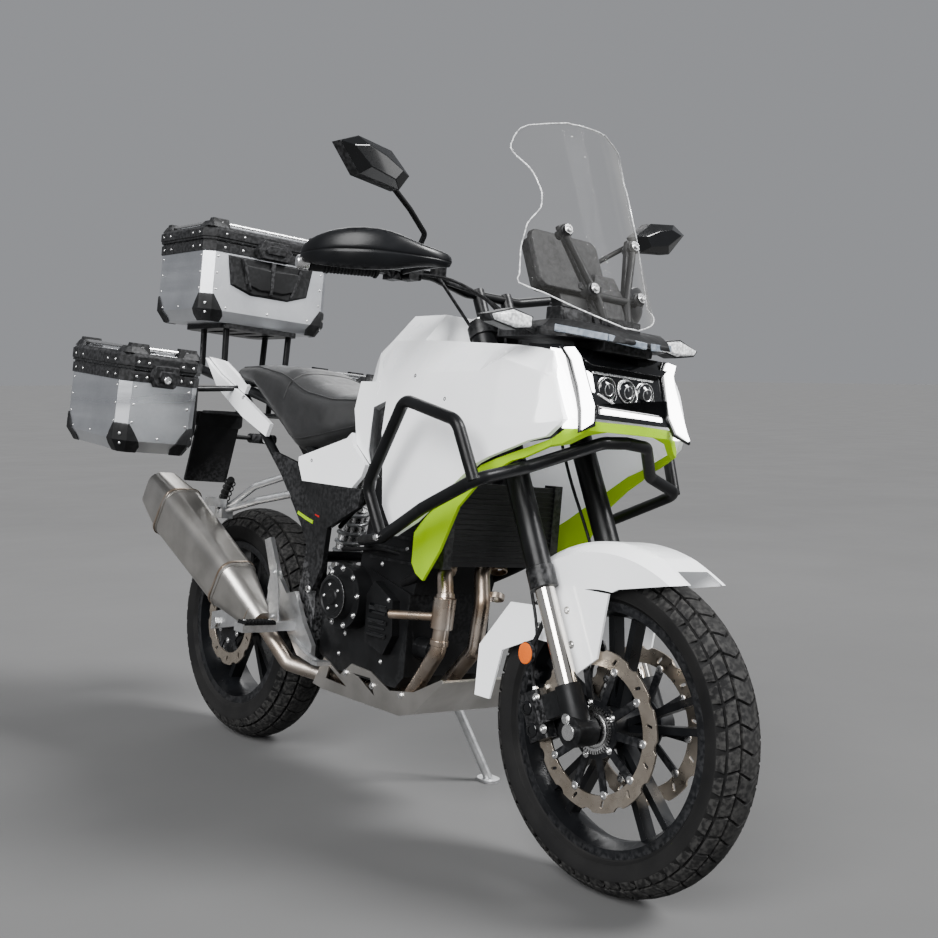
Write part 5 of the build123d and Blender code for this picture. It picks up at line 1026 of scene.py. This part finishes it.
hose(hoses, [on_leg(700, -22, -76), on_leg(790, -24, -72), on_leg(850, -30, -84),
             (-185, -262, 1200), (-188, -233, 1228)], BRAKE_HOSE)
piece("fork_bolts", bolts, bright_steel, "steering")
piece("brake_hoses", hoses, grained_black, "steering")
piece("reflector_backs", rims, grained_black, "steering")
piece("fork_reflectors", amber, orange_lens, "steering")
piece("caliper_caps", caps, gloss_black, "steering")
print("fork fittings made")

# %% [markdown]
# ## Bars, levers and mirrors
# The grips have ribs, the switch blocks have small buttons, and the mirror glass sits in the
# rim of its shell, facing the rider. Cables loop forward from the bar and back to the frame.

# %% Grips, switches, mirror glass and cables
ribs, buttons, glass, cables = (bmesh.new() for _ in range(4))
GRIP_IN, GRIP_OUT = Vector((-300, -179.7, 1228.9)), Vector((-445, -133.7, 1220.9))
GRIP_RIBS, RIB_PITCH = 15, 7.6
MIRROR_OUTLINE = [(-520, 1440), (-478, 1458), (-395, 1446), (-345, 1405), (-368, 1372),
                  (-470, 1384)]
MIRROR_BACK, MIRROR_FACE = -309.6, -280.6


def drawn_at(y, way):
    """A frame for (x, z) outlines at depth y; they thicken to the back (1) or front (-1)."""
    return moved(0, y, 0) @ Matrix(((1, 0, 0, 0), (0, 0, way, 0), (0, 1, 0, 0), (0, 0, 0, 1)))


def mirrored(outline, side):
    """An outline drawn for the right side, x negative, put on either side."""
    return [(-side * x, z) for x, z in outline]
for side in (-1, 1):
    flip = Vector((-side, 1, 1))
    start, end = GRIP_IN * flip, GRIP_OUT * flip
    along = (end - start).normalized()
    for i in range(GRIP_RIBS):
        at = start + along * (22 + i * RIB_PITCH)
        turned(ribs, [(17.0, -2.2), (18.6, -1.2), (18.6, 1.2), (17.0, 2.2)],
               stood(at, along), 24)
    turned(ribs, [(17, -4), (21, -3), (21, 1), (17, 2)], stood(start + along * 16, along), 24)
    switch = start - along * 20
    for dy, dz, size in ((14, 12, 5), (16, 0, 6), (14, -12, 4.5)):
        turned(buttons, [(size, 0), (size, 4), (size - 1.2, 5), (0, 5)],
               stood(switch + Vector((0, dy, dz)), (0, 1, 0.1)), 16)
    cut(glass, scaled(mirrored(MIRROR_OUTLINE, -side), 0.90), 1.2, drawn_at(MIRROR_FACE, 1))
hose(cables, [(170, -215, 1222), (150, -300, 1200), (70, -350, 1150), (30, -330, 1080),
              (20, -260, 1020)], 4)
hose(cables, [(-150, -214, 1222), (-120, -310, 1190), (-50, -352, 1130), (-24, -330, 1060),
              (-20, -262, 1010)], 4.2)
hose(cables, [(-240, -206, 1228), (-190, -290, 1216), (-110, -338, 1168), (-60, -330, 1090),
              (-46, -268, 1016)], 3.4)
hose(cables, [(240, -206, 1228), (190, -280, 1218), (110, -330, 1172), (50, -322, 1090),
              (30, -262, 1010)], 3.4)
piece("grip_ribs", ribs, grip_black, "steering")
piece("switch_buttons", buttons, lamp_white, "steering")
piece("mirror_glass", glass, mirror_glass, "steering", edge=0.4)
piece("bar_cables", cables, grained_black, "steering")
print("bar fittings made")

# %% [markdown]
# ## Setting things on a surface
# Bolts must sit on the castings and panels, never in the air. A ray shot at a solid finds the
# exact place and the way its surface faces, so a list of two numbers is enough for each bolt.

# %% Land a fitting on a solid
TREES = {}
UNPARK = PARK.inverted()
FAR_OUT = 600


def landed(node, start, way):
    """Where a ray from start first meets the node, and the surface's outward way there."""
    if node not in TREES:
        data = NODES[node].data
        TREES[node] = BVHTree.FromPolygons([v.co for v in data.vertices],
                                           [p.vertices for p in data.polygons])
    spot, normal, _, _ = TREES[node].ray_cast(PARK @ Vector(start),
                                              (PARK.to_3x3() @ Vector(way)).normalized())
    if spot is None:
        return None
    out = (UNPARK.to_3x3() @ normal).normalized()
    if out.dot(Vector(way)) > 0:
        out = -out
    return UNPARK @ spot, out


def beside(node, side, places):
    """Lands the (y, z) places on the side of a node: pairs of spot and outward way."""
    hits = [landed(node, (side * FAR_OUT, y, z), (-side, 0, 0)) for y, z in places]
    return [hit for hit in hits if hit]


def sideways_bolts(mesh, node, places, make, radius, tall, side):
    """Bolts on the faces that look sideways; says how many there are."""
    hits = [hit for hit in beside(node, side, places) if abs(hit[1].x) > 0.6]
    for spot, out in hits:
        make(mesh, spot, out, radius, tall)
    return len(hits)


# %% [markdown]
# ## The nose
# The lamp unit is a black box with three round projectors, a small white position lamp, a
# long light bar under them and bright trim lines. Two bent white running-light bands frame
# it. Above it the beak carries a slate-grey edge, and the turn signals stand out sideways.

# %% Projectors, light bar, running lights and beak
NOSE_BACK, NOSE_UP = 0.361, 0.9325
NOSE_FACE = moved(0, -668, 938) @ axes((1, 0, 0), (0, NOSE_BACK, NOSE_UP),
                                       (0, -NOSE_UP, NOSE_BACK))


def on_nose(deep):
    return NOSE_FACE @ moved(0, 0, deep)


domes, chrome, white, black = (bmesh.new() for _ in range(4))
for x in (-57, 0, 57):
    place = stood((x, -636.6, 1000), (0, -1, 0))
    turned(domes, [(23.5, 0), (23.5, 3), (20, 8.5), (13, 12.5), (6, 14.4), (0, 15)], place, 32)
    turned(chrome, [(24.6, 1), (24.6, 8), (22.8, 8), (22.8, 1)], place, 32, closed=True)
    turned(chrome, [(11, 12.6), (12.4, 13.6), (13.4, 12.6)], place, 24)
turned(chrome, [(27.5, 0), (29.5, 3), (27.5, 4), (25.5, 2)],
       NOSE_FACE @ moved(0, 66.5, -0.4), 36, closed=True)
for outline in ([(-92, 97), (86, 97), (90, 101), (-92, 102)],
                [(-40, 31), (112, 28), (116, 33), (-44, 36)],
                [(-44, 31), (-40, 36), (-88, 56), (-92, 52)]):
    cut(chrome, outline, 2.6, on_nose(-0.5))
cut(white, [(-119, 62), (-98, 55), (-96, 96), (-112, 102)], 4, on_nose(-0.5), shrink=1)
cut(white, [(-84, 13), (92, 10), (92, 20), (-84, 24)], 9, on_nose(-7), shrink=0.6)
cut(black, [(-132, 124), (132, 124), (112, 108), (-108, 110)], 13, on_nose(-0.5), shrink=3)
cut(black, [(-104, 26), (118, 22), (128, 44), (122, 27), (96, 22), (-96, 31)], 5,
    on_nose(-0.5))
RUNNING = [(-166, 143), (-140, 147), (-126, 128), (-118, 66), (-113, 22), (-126, -14),
           (-160, -30), (-149, 12), (-146, 64), (-150, 118)]
for side in (-1, 1):
    cut(white, mirrored(RUNNING, side), 11, on_nose(-1), shrink=2.2)
    wider = [(x + (9 if 0 < i < 6 else -6), v + 3 * (v > 60) - 4 * (v < 0))
             for i, (x, v) in enumerate(RUNNING)]
    cut(black, mirrored(wider, side), 6, on_nose(-2), shrink=1)
piece("projector_lenses", domes, dark_glass, "root")
piece("lamp_trim", chrome, bright_steel, "root", edge=0.5, angle=30)
piece("running_lights", white, lamp_white, "root", edge=1.6, angle=30)
piece("lamp_surround", black, gloss_black, "root", edge=1.0, angle=30)
beak, slate = bmesh.new(), bmesh.new()
lofted(beak, [[(-x, y, z) for x, y, z in ring] + [(x, y, z) for x, y, z in reversed(ring)]
              for ring in ([(170, -470, 1112), (150, -470, 1128)],
                           [(178, -560, 1108), (150, -560, 1134)],
                           [(150, -612, 1100), (118, -618, 1130)],
                           [(96, -664, 1092), (84, -668, 1112)],
                           [(70, -690, 1090), (64, -690, 1100)])])
for side in (-1, 1):
    for a, b in (((166, -590, 1112), (92, -666, 1100)), ((92, -666, 1100), (10, -694, 1092))):
        a, b = Vector((side * a[0], a[1], a[2])), Vector((side * b[0], b[1], b[2]))
        outward = Vector((b - a).cross(Vector((0, 0, 1)))).normalized()
        outward = outward if outward.y < 0 else -outward
        lofted(slate, [[p + outward * o + Vector((0, 0, h)) for o, h in
                        ((-3, -7), (5, -6), (4, 6), (-6, 8))] for p in (a, b)])
piece("nose_beak", beak, grained_black, "root", edge=3, angle=20)
piece("beak_edge", slate, slate_plastic, "root", edge=0.8)
SIGNAL = [(-200, 1108), (-200, 1129), (-250, 1138), (-306, 1121), (-298, 1110), (-242, 1101)]
SIGNAL_FACE = -557.6
lens = bmesh.new()
for side in (-1, 1):
    cut(lens, mirrored(SIGNAL, side), 9, drawn_at(SIGNAL_FACE, -1), shrink=6)
piece("signal_lenses", lens, signal_lens, "root", edge=2.5, angle=20, parts=3)
print("nose made")

# %% [markdown]
# ## The screen
# Clear polycarbonate bent round the nose, with a narrower waist and a flat facet down its
# middle. A thin sheet looks clear face on and milky at a slant, where it reflects more; that
# reflection is painted here, as a grey colour whose opacity follows the angle of view through
# the shader's own layer weight.

# %% Windscreen, its screws and the instrument behind it
screen_clear, tree, shader = begin("screen_polycarbonate", Specular_IOR_Level=0.12)
screen_clear.surface_render_method = "BLENDED"
# Painted reflection: the sheet's grey colour grows more opaque as the view slants, in place of the glare a slanted
# sheet reflects.
weight = tree.nodes.new("ShaderNodeLayerWeight")
weight.inputs["Blend"].default_value = 0.35
tree.links.new(span(tree, weight.outputs["Facing"], 0.02, 0.42, 0.50, 0.99),
               shader.inputs["Alpha"])
tree.links.new(two_tone(tree, noise(tree, 90, 3), (0.22, 0.216, 0.205), (0.28, 0.275, 0.26)),
               shader.inputs["Base Color"])
tree.links.new(span(tree, noise(tree, 60, 4), 0.03, 0.09), shader.inputs["Roughness"])
SCREEN_FOOT_Y, SCREEN_FOOT_Z, SCREEN_TOP = -637.0, 1133.0, 1560
SCREEN_TILT, SCREEN_BEND, SCREEN_STATIONS = math.radians(21.5), 240.0, 48
TILT = Vector((0, math.sin(SCREEN_TILT), math.cos(SCREEN_TILT)))
OUTWARD = Vector((0, -math.cos(SCREEN_TILT), math.sin(SCREEN_TILT)))
SCREEN_FACE = axes((1, 0, 0), TILT, OUTWARD)
# Heights up the screen, each with its half-width.
SCREEN_HALF = [(1128, 20), (1140, 70), (1164, 130), (1200, 194), (1278, 183), (1328, 168),
               (1366, 141), (1400, 137), (1444, 146), (1482, 174), (1520, 163), (1547, 132),
               (1560, 60)]


def screen_depth(x, z):
    """y of the sheet's outside at half-width x and height z."""
    bend = SCREEN_BEND - math.sqrt(SCREEN_BEND ** 2 - min(x * x, 230 ** 2))
    facet = 3.0 * min(1.0, max(0.0, (abs(x) - 34) / 10))
    return (SCREEN_FOOT_Y + (z - SCREEN_FOOT_Z) * math.tan(SCREEN_TILT)
            + (bend + facet - 3) * 1.0748)


sheet, rows = bmesh.new(), []
for i in range(SCREEN_STATIONS + 1):
    z = 1128.5 + (SCREEN_TOP - 1128.5) * i / SCREEN_STATIONS
    for a, b in zip(SCREEN_HALF, SCREEN_HALF[1:]):
        if a[0] <= z <= b[0]:
            half = a[1] + (b[1] - a[1]) * (z - a[0]) / (b[0] - a[0])
    rows.append([Vector((half * s, screen_depth(half * s, z), z))
                 for s in [k / 14 for k in range(-14, 15)]])
grid = [[sheet.verts.new(p) for p in row] for row in rows]
for low, high in zip(grid, grid[1:]):
    for k in range(28):
        sheet.faces.new((low[k], low[k + 1], high[k + 1], high[k]))
glass = piece("screen_sheet", sheet, screen_clear, "root", ["windscreen"])
skin = glass.modifiers.new("thickness", "SOLIDIFY")
skin.thickness = 0.0035
edge_line, screws, plates, dark = (bmesh.new() for _ in range(4))
rim = ([row[-1] for row in rows] + rows[-1][::-1] + [row[0] for row in reversed(rows)]
       + rows[0])
bar(edge_line, rim[::2], 1.5, sides=6, each=2)
piece("screen_rim", edge_line, signal_lens, "root")
for side in (-1, 1):
    for x, up in ((101, 204), (70, 76)):
        z = SCREEN_FOOT_Z + up * TILT.z
        at = Vector((side * x, screen_depth(x, z), z))
        socket_screw(screws, at + OUTWARD * 0.5, OUTWARD, 7.5, 5)
        turned(plates, [(15, -9), (15, -5), (11, -4)], stood(at, OUTWARD), 20)
        turned(plates, [(10, -32), (10, -4)], stood(at, OUTWARD), 16)
    for (x1, z1), (x2, z2), wide in (((26, 1128), (104, 1330), 15), ((20, 1190), (74, 1212), 12),
                                     ((58, 1206), (104, 1322), 11)):
        a, b = (Vector((side * x, -588 + (z - SCREEN_FOOT_Z) * 0.394, z))
                for x, z in ((x1, z1), (x2, z2)))
        bar(plates, [a, (a + b) / 2, b], wide, sides=6, smooth=False, squash=0.55)
cut(plates, [(-46, 0), (46, 0), (58, 60), (30, 128), (-30, 128), (-58, 60)], 10,
    moved(0, -590, 1122) @ SCREEN_FACE, shrink=5)
cut(plates, [(-34, 20), (34, 20), (26, 96), (-26, 96)], 6,
    moved(0, -599, 1126) @ SCREEN_FACE, shrink=4)
DASH_TILT = math.radians(24)
DASH_FACE = moved(0, -452, 1160) @ axes((-1, 0, 0),
                                        (0, math.sin(DASH_TILT), math.cos(DASH_TILT)),
                                        (0, math.cos(DASH_TILT), -math.sin(DASH_TILT)))
cut(dark, rounded(168, 104, 10), 2.0, DASH_FACE @ moved(0, 108, 0.2), shrink=1)
shell = bmesh.new()
cut(shell, rounded(200, 136, 22), 12, DASH_FACE @ moved(0, 108, -42), shrink=-4)
piece("screen_screws", screws, bright_steel, "root")
piece("screen_bracket_ribs", plates, grained_black, "root", edge=1.6,
      angle=25)
piece("dash_display", dark, dark_glass, "root", edge=0.6)
piece("dash_back", shell, grained_black, "root", edge=3, angle=30)
print("screen made from", len(rows), "rows")

# %% [markdown]
# ## Handguards and mirror shells
# A handguard is a long shell that wraps the grip's end: tall and full in the middle, slim
# where it meets the bar. It is lofted along its own path. The mirror shells get their folded
# facets on the side that faces forward.

# %% Guards, bar ends and facets
# Each station of the guard says x, y, z, half its height and half its thickness.
GUARD = [(-236, -336, 1244, 15, 8), (-275, -346, 1245, 18, 10), (-318, -331, 1246, 24, 12),
         (-352, -312, 1248, 38, 15), (-395, -288, 1249, 46, 17), (-438, -248, 1247, 45, 17),
         (-465, -204, 1244, 37, 14), (-475, -164, 1240, 27, 11), (-474, -128, 1236, 16, 7)]
GUARD_RING = [(1.02, -0.02), (0.96, 0.25), (0.80, 0.62), (0.35, 0.96), (-0.35, 1.0), (-0.8, 0.7),
              (-0.75, 0.1), (-0.75, -0.5), (-0.35, -0.95), (0.3, -1.0), (0.82, -0.62),
              (0.94, -0.30), (0.96, -0.16), (0.86, -0.12), (0.88, -0.05)]
guards, ends, facets = bmesh.new(), bmesh.new(), bmesh.new()
for side in (-1, 1):
    spine = [Vector((-side * x, y, z)) for x, y, z, _, _ in GUARD]
    rings = []
    for i, (_, _, _, tall, thick) in enumerate(GUARD):
        ahead = spine[min(i + 1, len(GUARD) - 1)] - spine[max(i - 1, 0)]
        outward = Vector((ahead.y, -ahead.x, 0)).normalized()
        if outward.dot(Vector((side, -1, 0))) < 0:
            outward = -outward
        rings.append([spine[i] + outward * a * thick + Vector((0, 0, b * tall))
                      for a, b in GUARD_RING])
    lofted(guards, rings)
    bar(guards, [(side * 240, -332, 1244), (side * 262, -270, 1236), (side * 268, -206, 1228)],
        9, sides=12)
    turned(ends, [(0, 0), (13.5, 0), (15, 2), (15, 20), (12, 26), (0, 27)],
           stood((side * 455, -131, 1220.4), (side, 0.3, -0.05)), 24)
    cut(facets, mirrored(MIRROR_OUTLINE, side), 15, drawn_at(MIRROR_BACK, -1), shrink=26)
piece("handguard_shells", guards, rim_black, "steering",
      ["handguards"], rounds=1, sharp=80)
piece("bar_end_weights", ends, bright_steel, "steering")
piece("mirror_facets", facets, gloss_black, "steering", edge=1.5,
      angle=15)
print("guards made")

# %% [markdown]
# ## Engine, pipes and guards
# The castings carry rings of bolts round their covers, low ribs on the crankcase and hoses to
# the radiator. The header pipes get a collar on every run, the silencer its bands and an
# outlet.

# %% Bolts, cover rings, hoses and exhaust fittings
COVER_BOLTS = 68
bolts, ringed, ribs, pipes, steel, warm = (bmesh.new() for _ in range(6))
for side, y, z in ((-1, 61, 485), (1, 10, 455)):
    for spot, _ in beside("engine", side, [(y + COVER_BOLTS * math.cos(a),
                                            z + COVER_BOLTS * math.sin(a))
                                           for a in circle(9, 0.3)]):
        socket_screw(bolts, spot, (side, 0, 0), 5, 5)
    middle = beside("engine", side, [(y, z)])[0][0]
    place = stood(middle, (side, 0, 0))
    turned(ringed, [(51, -1), (51, 2.5), (47, 4.5), (42, 4.5), (39, 1.5), (20, 1.0),
                    (17, 4), (0, 5)], place, 48)
    turned(steel, [(50.2, 2.6), (51.4, 2.0), (51.4, 1.0)], place, 48)
    for a in circle(5):
        socket_screw(bolts, middle + Vector((0, 30 * math.cos(a), 30 * math.sin(a))),
                     (side, 0, 0), 4, 4.5)
placed = 0
for side in (-1, 1):
    placed += sideways_bolts(bolts, "engine", [
        (-30, 575), (90, 575), (150, 480), (90, 392), (-20, 390), (-100, 500), (-60, 350),
        (110, 340), (-120, 620), (-60, 690), (-140, 690), (-30, 640)],
        socket_screw, 3.8, 4, side)
    for spot, _ in beside("engine", side, [(-62, 414 + k * 17) for k in range(5)]):
        block(ribs, (5, 62, 7), Matrix.Translation(spot))
    placed += sideways_bolts(bolts, "skid_plate", [(-150, 290), (-40, 290), (70, 300),
                                                   (-200, 330)], hex_bolt, 6, 4, side)
    placed += sideways_bolts(bolts, "main_frame", [
        (240, 480), (240, 400), (236, 640), (100, 700), (-60, 700), (200, 830)],
        hex_bolt, 7, 5, side)
    placed += sideways_bolts(bolts, "crash_bars", [(-200, 652), (40, 626), (-268, 800)],
                             hex_bolt, 6, 5, side)
    for radius, sides, points in (
            (12, 14, [(120, -275, 770), (118, -240, 780), (96, -200, 760), (80, -150, 742)]),
            (11, 14, [(128, -275, 622), (132, -240, 600), (120, -160, 560), (112, -110, 540)]),
            (6, 10, [(60, -60, 770), (74, 20, 760), (90, 120, 700), (88, 200, 640)]),
            (5, 10, [(100, -120, 600), (131, -40, 610), (126, 60, 600), (108, 150, 590)])):
        hose(pipes, [(side * x, y, z) for x, y, z in points], radius, sides)
piece("engine_bolts", bolts, bright_steel, "root")
piece("engine_cover_rings", ringed, engine_black, "root", sharp=30)
piece("cover_bright_edges", steel, bright_steel, "root")
piece("engine_ribs", ribs, gloss_black, "root", edge=1.2)
piece("engine_hoses", pipes, grip_black, "root")
print(placed, "bolts landed on castings and tubes")
HEADERS = [[(-58, -232, 640), (-112, -254, 580), (-122, -276, 520), (-122, -264, 410)],
           [(58, -232, 640), (40, -262, 580), (20, -280, 520), (0, -268, 420)]]
for path in HEADERS:
    for a, b in zip(path, path[1:]):
        way = Vector(b) - Vector(a)
        turned(warm, [(18.2, -7), (20.6, -6), (20.6, 6), (18.2, 7)],
               stood(Vector(a).lerp(Vector(b), 0.82), way), 28)
SILENCER = (Vector((-208, 334, 381)), Vector((-246, 872, 676)))
way = (SILENCER[1] - SILENCER[0]).normalized()
for share, wide, tall, grow in ((0.27, 104, 132, 3.5), (0.81, 112, 146, 3.5), (0.05, 60, 68, 3)):
    place = stood(SILENCER[0].lerp(SILENCER[1], share), way)
    outline = rounded(wide + 2 * grow, tall + 2 * grow, 36 if share > 0.1 else 26, 6)
    cut(warm, outline, 7, place, shrink=0.8)
outlet = bmesh.new()
turned(outlet, [(25.4, -40), (25.4, 16), (28, 17), (28, 6), (31, 2)],
       stood(SILENCER[1] - way * 2, way), 32)
piece("exhaust_bands", warm, heated_steel, "root", edge=0.8)
piece("silencer_outlet", outlet, engine_black, "root")
print("exhaust fittings made")

# %% [markdown]
# ## Pegs, springs and small plates
# Rubber pads on the pegs have teeth so that a wet boot holds. The passenger's pegs are folded
# up. The shock's coil and the side stand's spring are real helices. The heel guards are thin
# plates with a screw at each end.

# %% Pegs, guards, springs
def coil(mesh, start, end, radius, wire, turns, sides, each):
    """A helical spring from start to end, with each stations a turn."""
    start, end = Vector(start), Vector(end)
    axis = (end - start).normalized()
    first = axis.orthogonal().normalized()
    second = axis.cross(first)
    count = int(turns * each)
    path = [start.lerp(end, i / count) + radius * (
        math.cos(math.tau * i / each) * first + math.sin(math.tau * i / each) * second)
        for i in range(count + 1)]
    bar(mesh, path, wire, sides=sides, smooth=False)


rubber, metal, springs, dark_metal = (bmesh.new() for _ in range(4))
for side in (-1, 1):
    spot = Vector((side * 266, 262, 393))
    block(rubber, (88, 36, 7), Matrix.Translation(spot))
    for i in range(9):
        block(rubber, (4, 38, 5), Matrix.Translation(spot + Vector((-40 + i * 10, 0, 5))))
    for dx in (-36, 36):
        socket_screw(metal, spot + Vector((dx, 0, 7)), (0, 0, 1), 3.5, 2)
    cut(metal, [(side * y, z) for y, z in ((-26, 392), (12, 386), (34, 470), (24, 520),
                                           (0, 528), (-16, 470))], 3.5,
        stood((side * 196, 300, 0), (side, 0, 0)))
    for y, z in ((300, 402), (306, 512)):
        socket_screw(metal, (side * 199, y, z), (side, 0, 0), 5, 4)
    peg = [Vector((side * 186, 628, 646)), Vector((side * 196, 592, 690)),
           Vector((side * 200, 560, 728))]
    bar(rubber, peg, 13, sides=12, squash=0.75)
    for i in range(5):
        at = peg[0].lerp(peg[2], 0.2 + i * 0.17)
        turned(rubber, [(13, -2), (15.5, -1), (15.5, 1), (13, 2)],
               stood(at, peg[2] - peg[0]), 16)
    hex_bolt(metal, (side * 193, 624, 640), (side, 0, 0), 8, 6)
SHOCK_FOOT, SHOCK_HEAD = Vector((0, 318, 441)), Vector((0, 236, 770))
coil(springs, SHOCK_FOOT.lerp(SHOCK_HEAD, 0.22), SHOCK_FOOT.lerp(SHOCK_HEAD, 0.74), 33, 5.5, 7,
     8, 22)
SPRING_LOW, SPRING_HIGH = (124, 2, 256), (124, 118, 300)
coil(dark_metal, SPRING_LOW, SPRING_HIGH, 8, 1.6, 16, 6, 10)
bar(dark_metal, [SPRING_HIGH, (130, 150, 312), (140, 168, 318)], 2.2, sides=8)
bar(dark_metal, [SPRING_LOW, (130, -12, 248), (142, -18, 244)], 2.2, sides=8)
piece("peg_rubbers", rubber, grip_black, "root", edge=1.0)
piece("heel_guards", metal, cast_silver, "root", edge=0.8, angle=30)
piece("shock_spring", springs, cast_silver, "root")
piece("stand_spring", dark_metal, chain_metal, "root")
print("pegs and springs made")

# %% [markdown]
# ## Panel screws, seams and the neon line
# Body panels are held by dark screws sunk into them, the front fender by bright ones. The
# black side cover carries a narrow neon line with a short red dash at its end.

# %% Screws and lines on the bodywork
def ribbon(mesh, node, path, wide, thick, side):
    """A raised strip laid along (y, z) points on one side of a solid."""
    spine = beside(node, side, [(p.y, p.z) for p in smooth_path([(0, y, z) for y, z in path],
                                                                8)])
    rings = []
    for i, (spot, out) in enumerate(spine):
        ahead = (spine[min(i + 1, len(spine) - 1)][0] - spine[max(i - 1, 0)][0]).normalized()
        across = ahead.cross(out).normalized() * wide / 2
        rings.append([spot - across - out, spot + across - out, spot + across * 0.8
                      + out * thick, spot - across * 0.8 + out * thick])
    lofted(mesh, rings)


neon, dash, bright, sunk = (bmesh.new() for _ in range(4))
for side in (-1, 1):
    ribbon(neon, "side_covers", [(432, 792), (380, 730), (324, 682), (262, 660), (214, 648)],
           9, 1.6, side)
    ribbon(dash, "side_covers", [(206, 668), (188, 664)], 4, 1.6, side)
    for node, places in (
            ("side_fairings", [(-40, 980), (-200, 1010), (-330, 960), (-120, 760), (-30, 860)]),
            ("side_panels", [(520, 930), (640, 950), (240, 800)])):
        for spot, out in beside(node, side, places):
            socket_screw(sunk, spot - out * 1.5, out, 4.5, 2.4)
    for spot, out in beside("front_fender", side, [(-608, 552), (-628, 486), (-532, 508)]):
        socket_screw(bright, spot, out, 5.5, 3)
piece("side_cover_neon_line", neon, neon_plastic, "root", sharp=30)
piece("side_cover_red_dash", dash, red_lens, "root", sharp=30)
piece("panel_screws", sunk, grained_black, "root")
piece("fender_screws", bright, bright_steel, "steering")
print("bodywork lines made")

# %% [markdown]
# ## The tail
# The rear lamp is a red lens with ribs across it, under the rack, with a round signal lens on
# each side. Hex bolts hold the racks.

# %% Rear lamp, signal lenses and rack bolts
red, bolts, posts = (bmesh.new() for _ in range(3))
cut(red, rounded(152, 36, 9), 9, stood((0, 1033.5, 888), (0, 1, 0)), shrink=3)
for i in range(7):
    block(red, (3, 3, 26), moved(-60 + i * 20, 1043, 888))
for x, y in ((-120, 800), (120, 800), (-120, 1050), (120, 1050), (-60, 925), (60, 925)):
    found = landed("luggage_racks", (x, y, 1300), (0, 0, -1))
    if found and found[0].z < 1165:
        hex_bolt(bolts, found[0], (0, 0, 1), 6, 4)
for side in (-1, 1):
    for y, z in ((700, 960), (900, 960), (800, 760), (1000, 860), (640, 860)):
        found = landed("luggage_racks", (side * 248, y, z), (side, 0, 0))
        if found:
            hex_bolt(bolts, found[0], (-side, 0, 0), 6, 5)
    turned(posts, [(14, 0), (14, 4), (10, 7), (0, 7)],
           stood((side * 170, 1010, 842), (0, 1, 0)), 24)
piece("rear_lamp_lens", red, red_lens, "root", edge=1.6, angle=30)
piece("rack_bolts", bolts, bright_steel, "root")
piece("rear_signal_lenses", posts, signal_lens, "root")
print("tail made")

# %% [markdown]
# ## Floor, light and camera
# A plain floor and broad soft lights, as in a studio: a key over the machine's left front, a
# fill from its right, and two soft lamps, so black plastic still shows its shape.

# %% The studio
def light(name, kind, energy, toward):
    """A light that shines from the direction toward, back along it."""
    data = bpy.data.lights.new(name, kind)
    data.energy = energy
    made = bpy.data.objects.new(name, data)
    bpy.context.scene.collection.objects.link(made)
    made.rotation_euler = Vector(toward).to_track_quat("Z", "Y").to_euler()
    return data, made


FLOOR_WIDE, FLOOR_THICK, FLOOR_TOP = 120, 0.01, -0.0005
floor_mesh = bmesh.new()
block(floor_mesh, (FLOOR_WIDE, FLOOR_WIDE, FLOOR_THICK),
      moved(0, 0, FLOOR_TOP - FLOOR_THICK / 2))
floor_data = bpy.data.meshes.new("studio_floor")
floor_mesh.to_mesh(floor_data)
floor_mesh.free()
floor = bpy.data.objects.new("studio_floor", floor_data)
bpy.context.scene.collection.objects.link(floor)
floor_data.materials.append(blotched("pale_floor", (0.097, 0.097, 0.0972), (0.103, 0.103, 0.1032),
                                     (0.6, 0.75), (6.0, 0.02), 900.0,
                                     Specular_IOR_Level=0.03))
for name, toward, spread, strength in (("key", (0.75, -0.85, 1.15), 20, 7),
                                       ("fill", (-1.0, -0.45, 0.8), 40, 6.2)):
    light(name, "SUN", strength, toward)[0].angle = math.radians(spread)
for name, spot, aim, size, power in (
        ("strip", (2.2, -3.4, 2.6), (0, -0.3, 0.7), (0.6, 2.6), 25),
        ("back", (2.6, 3.0, 3.0), (0, 0.2, 0.8), (2.5, 2.0), 60)):
    data, made = light(name, "AREA", power, Vector(spot) - Vector(aim))
    data.shape = "RECTANGLE"
    data.size, data.size_y = size
    made.location = spot
world = bpy.data.worlds.new("studio_air")
world.use_nodes = True
world.node_tree.nodes["Background"].inputs["Color"].default_value = (0.93, 0.95, 1.0, 1)
world.node_tree.nodes["Background"].inputs["Strength"].default_value = 0.33
bpy.context.scene.world = world
print("floor, two broad lights and two lamps")

# %% The camera
EYE_FROM_AXLE = Vector((-1.8059, -1.6736, 0.7220))
LENS_MM, LOOK_DOWN, LOOK_ROUND = 47.90, 4.773, -40.216
view = bpy.data.cameras.new("view")
view.lens = LENS_MM
view.sensor_width = 36.0
camera = bpy.data.objects.new("view", view)
camera.location = Vector(AXLE["pos_m"]) + EYE_FROM_AXLE
camera.rotation_euler = (math.radians(90 - LOOK_DOWN), 0, math.radians(LOOK_ROUND))
bpy.context.scene.collection.objects.link(camera)
bpy.context.scene.camera = camera
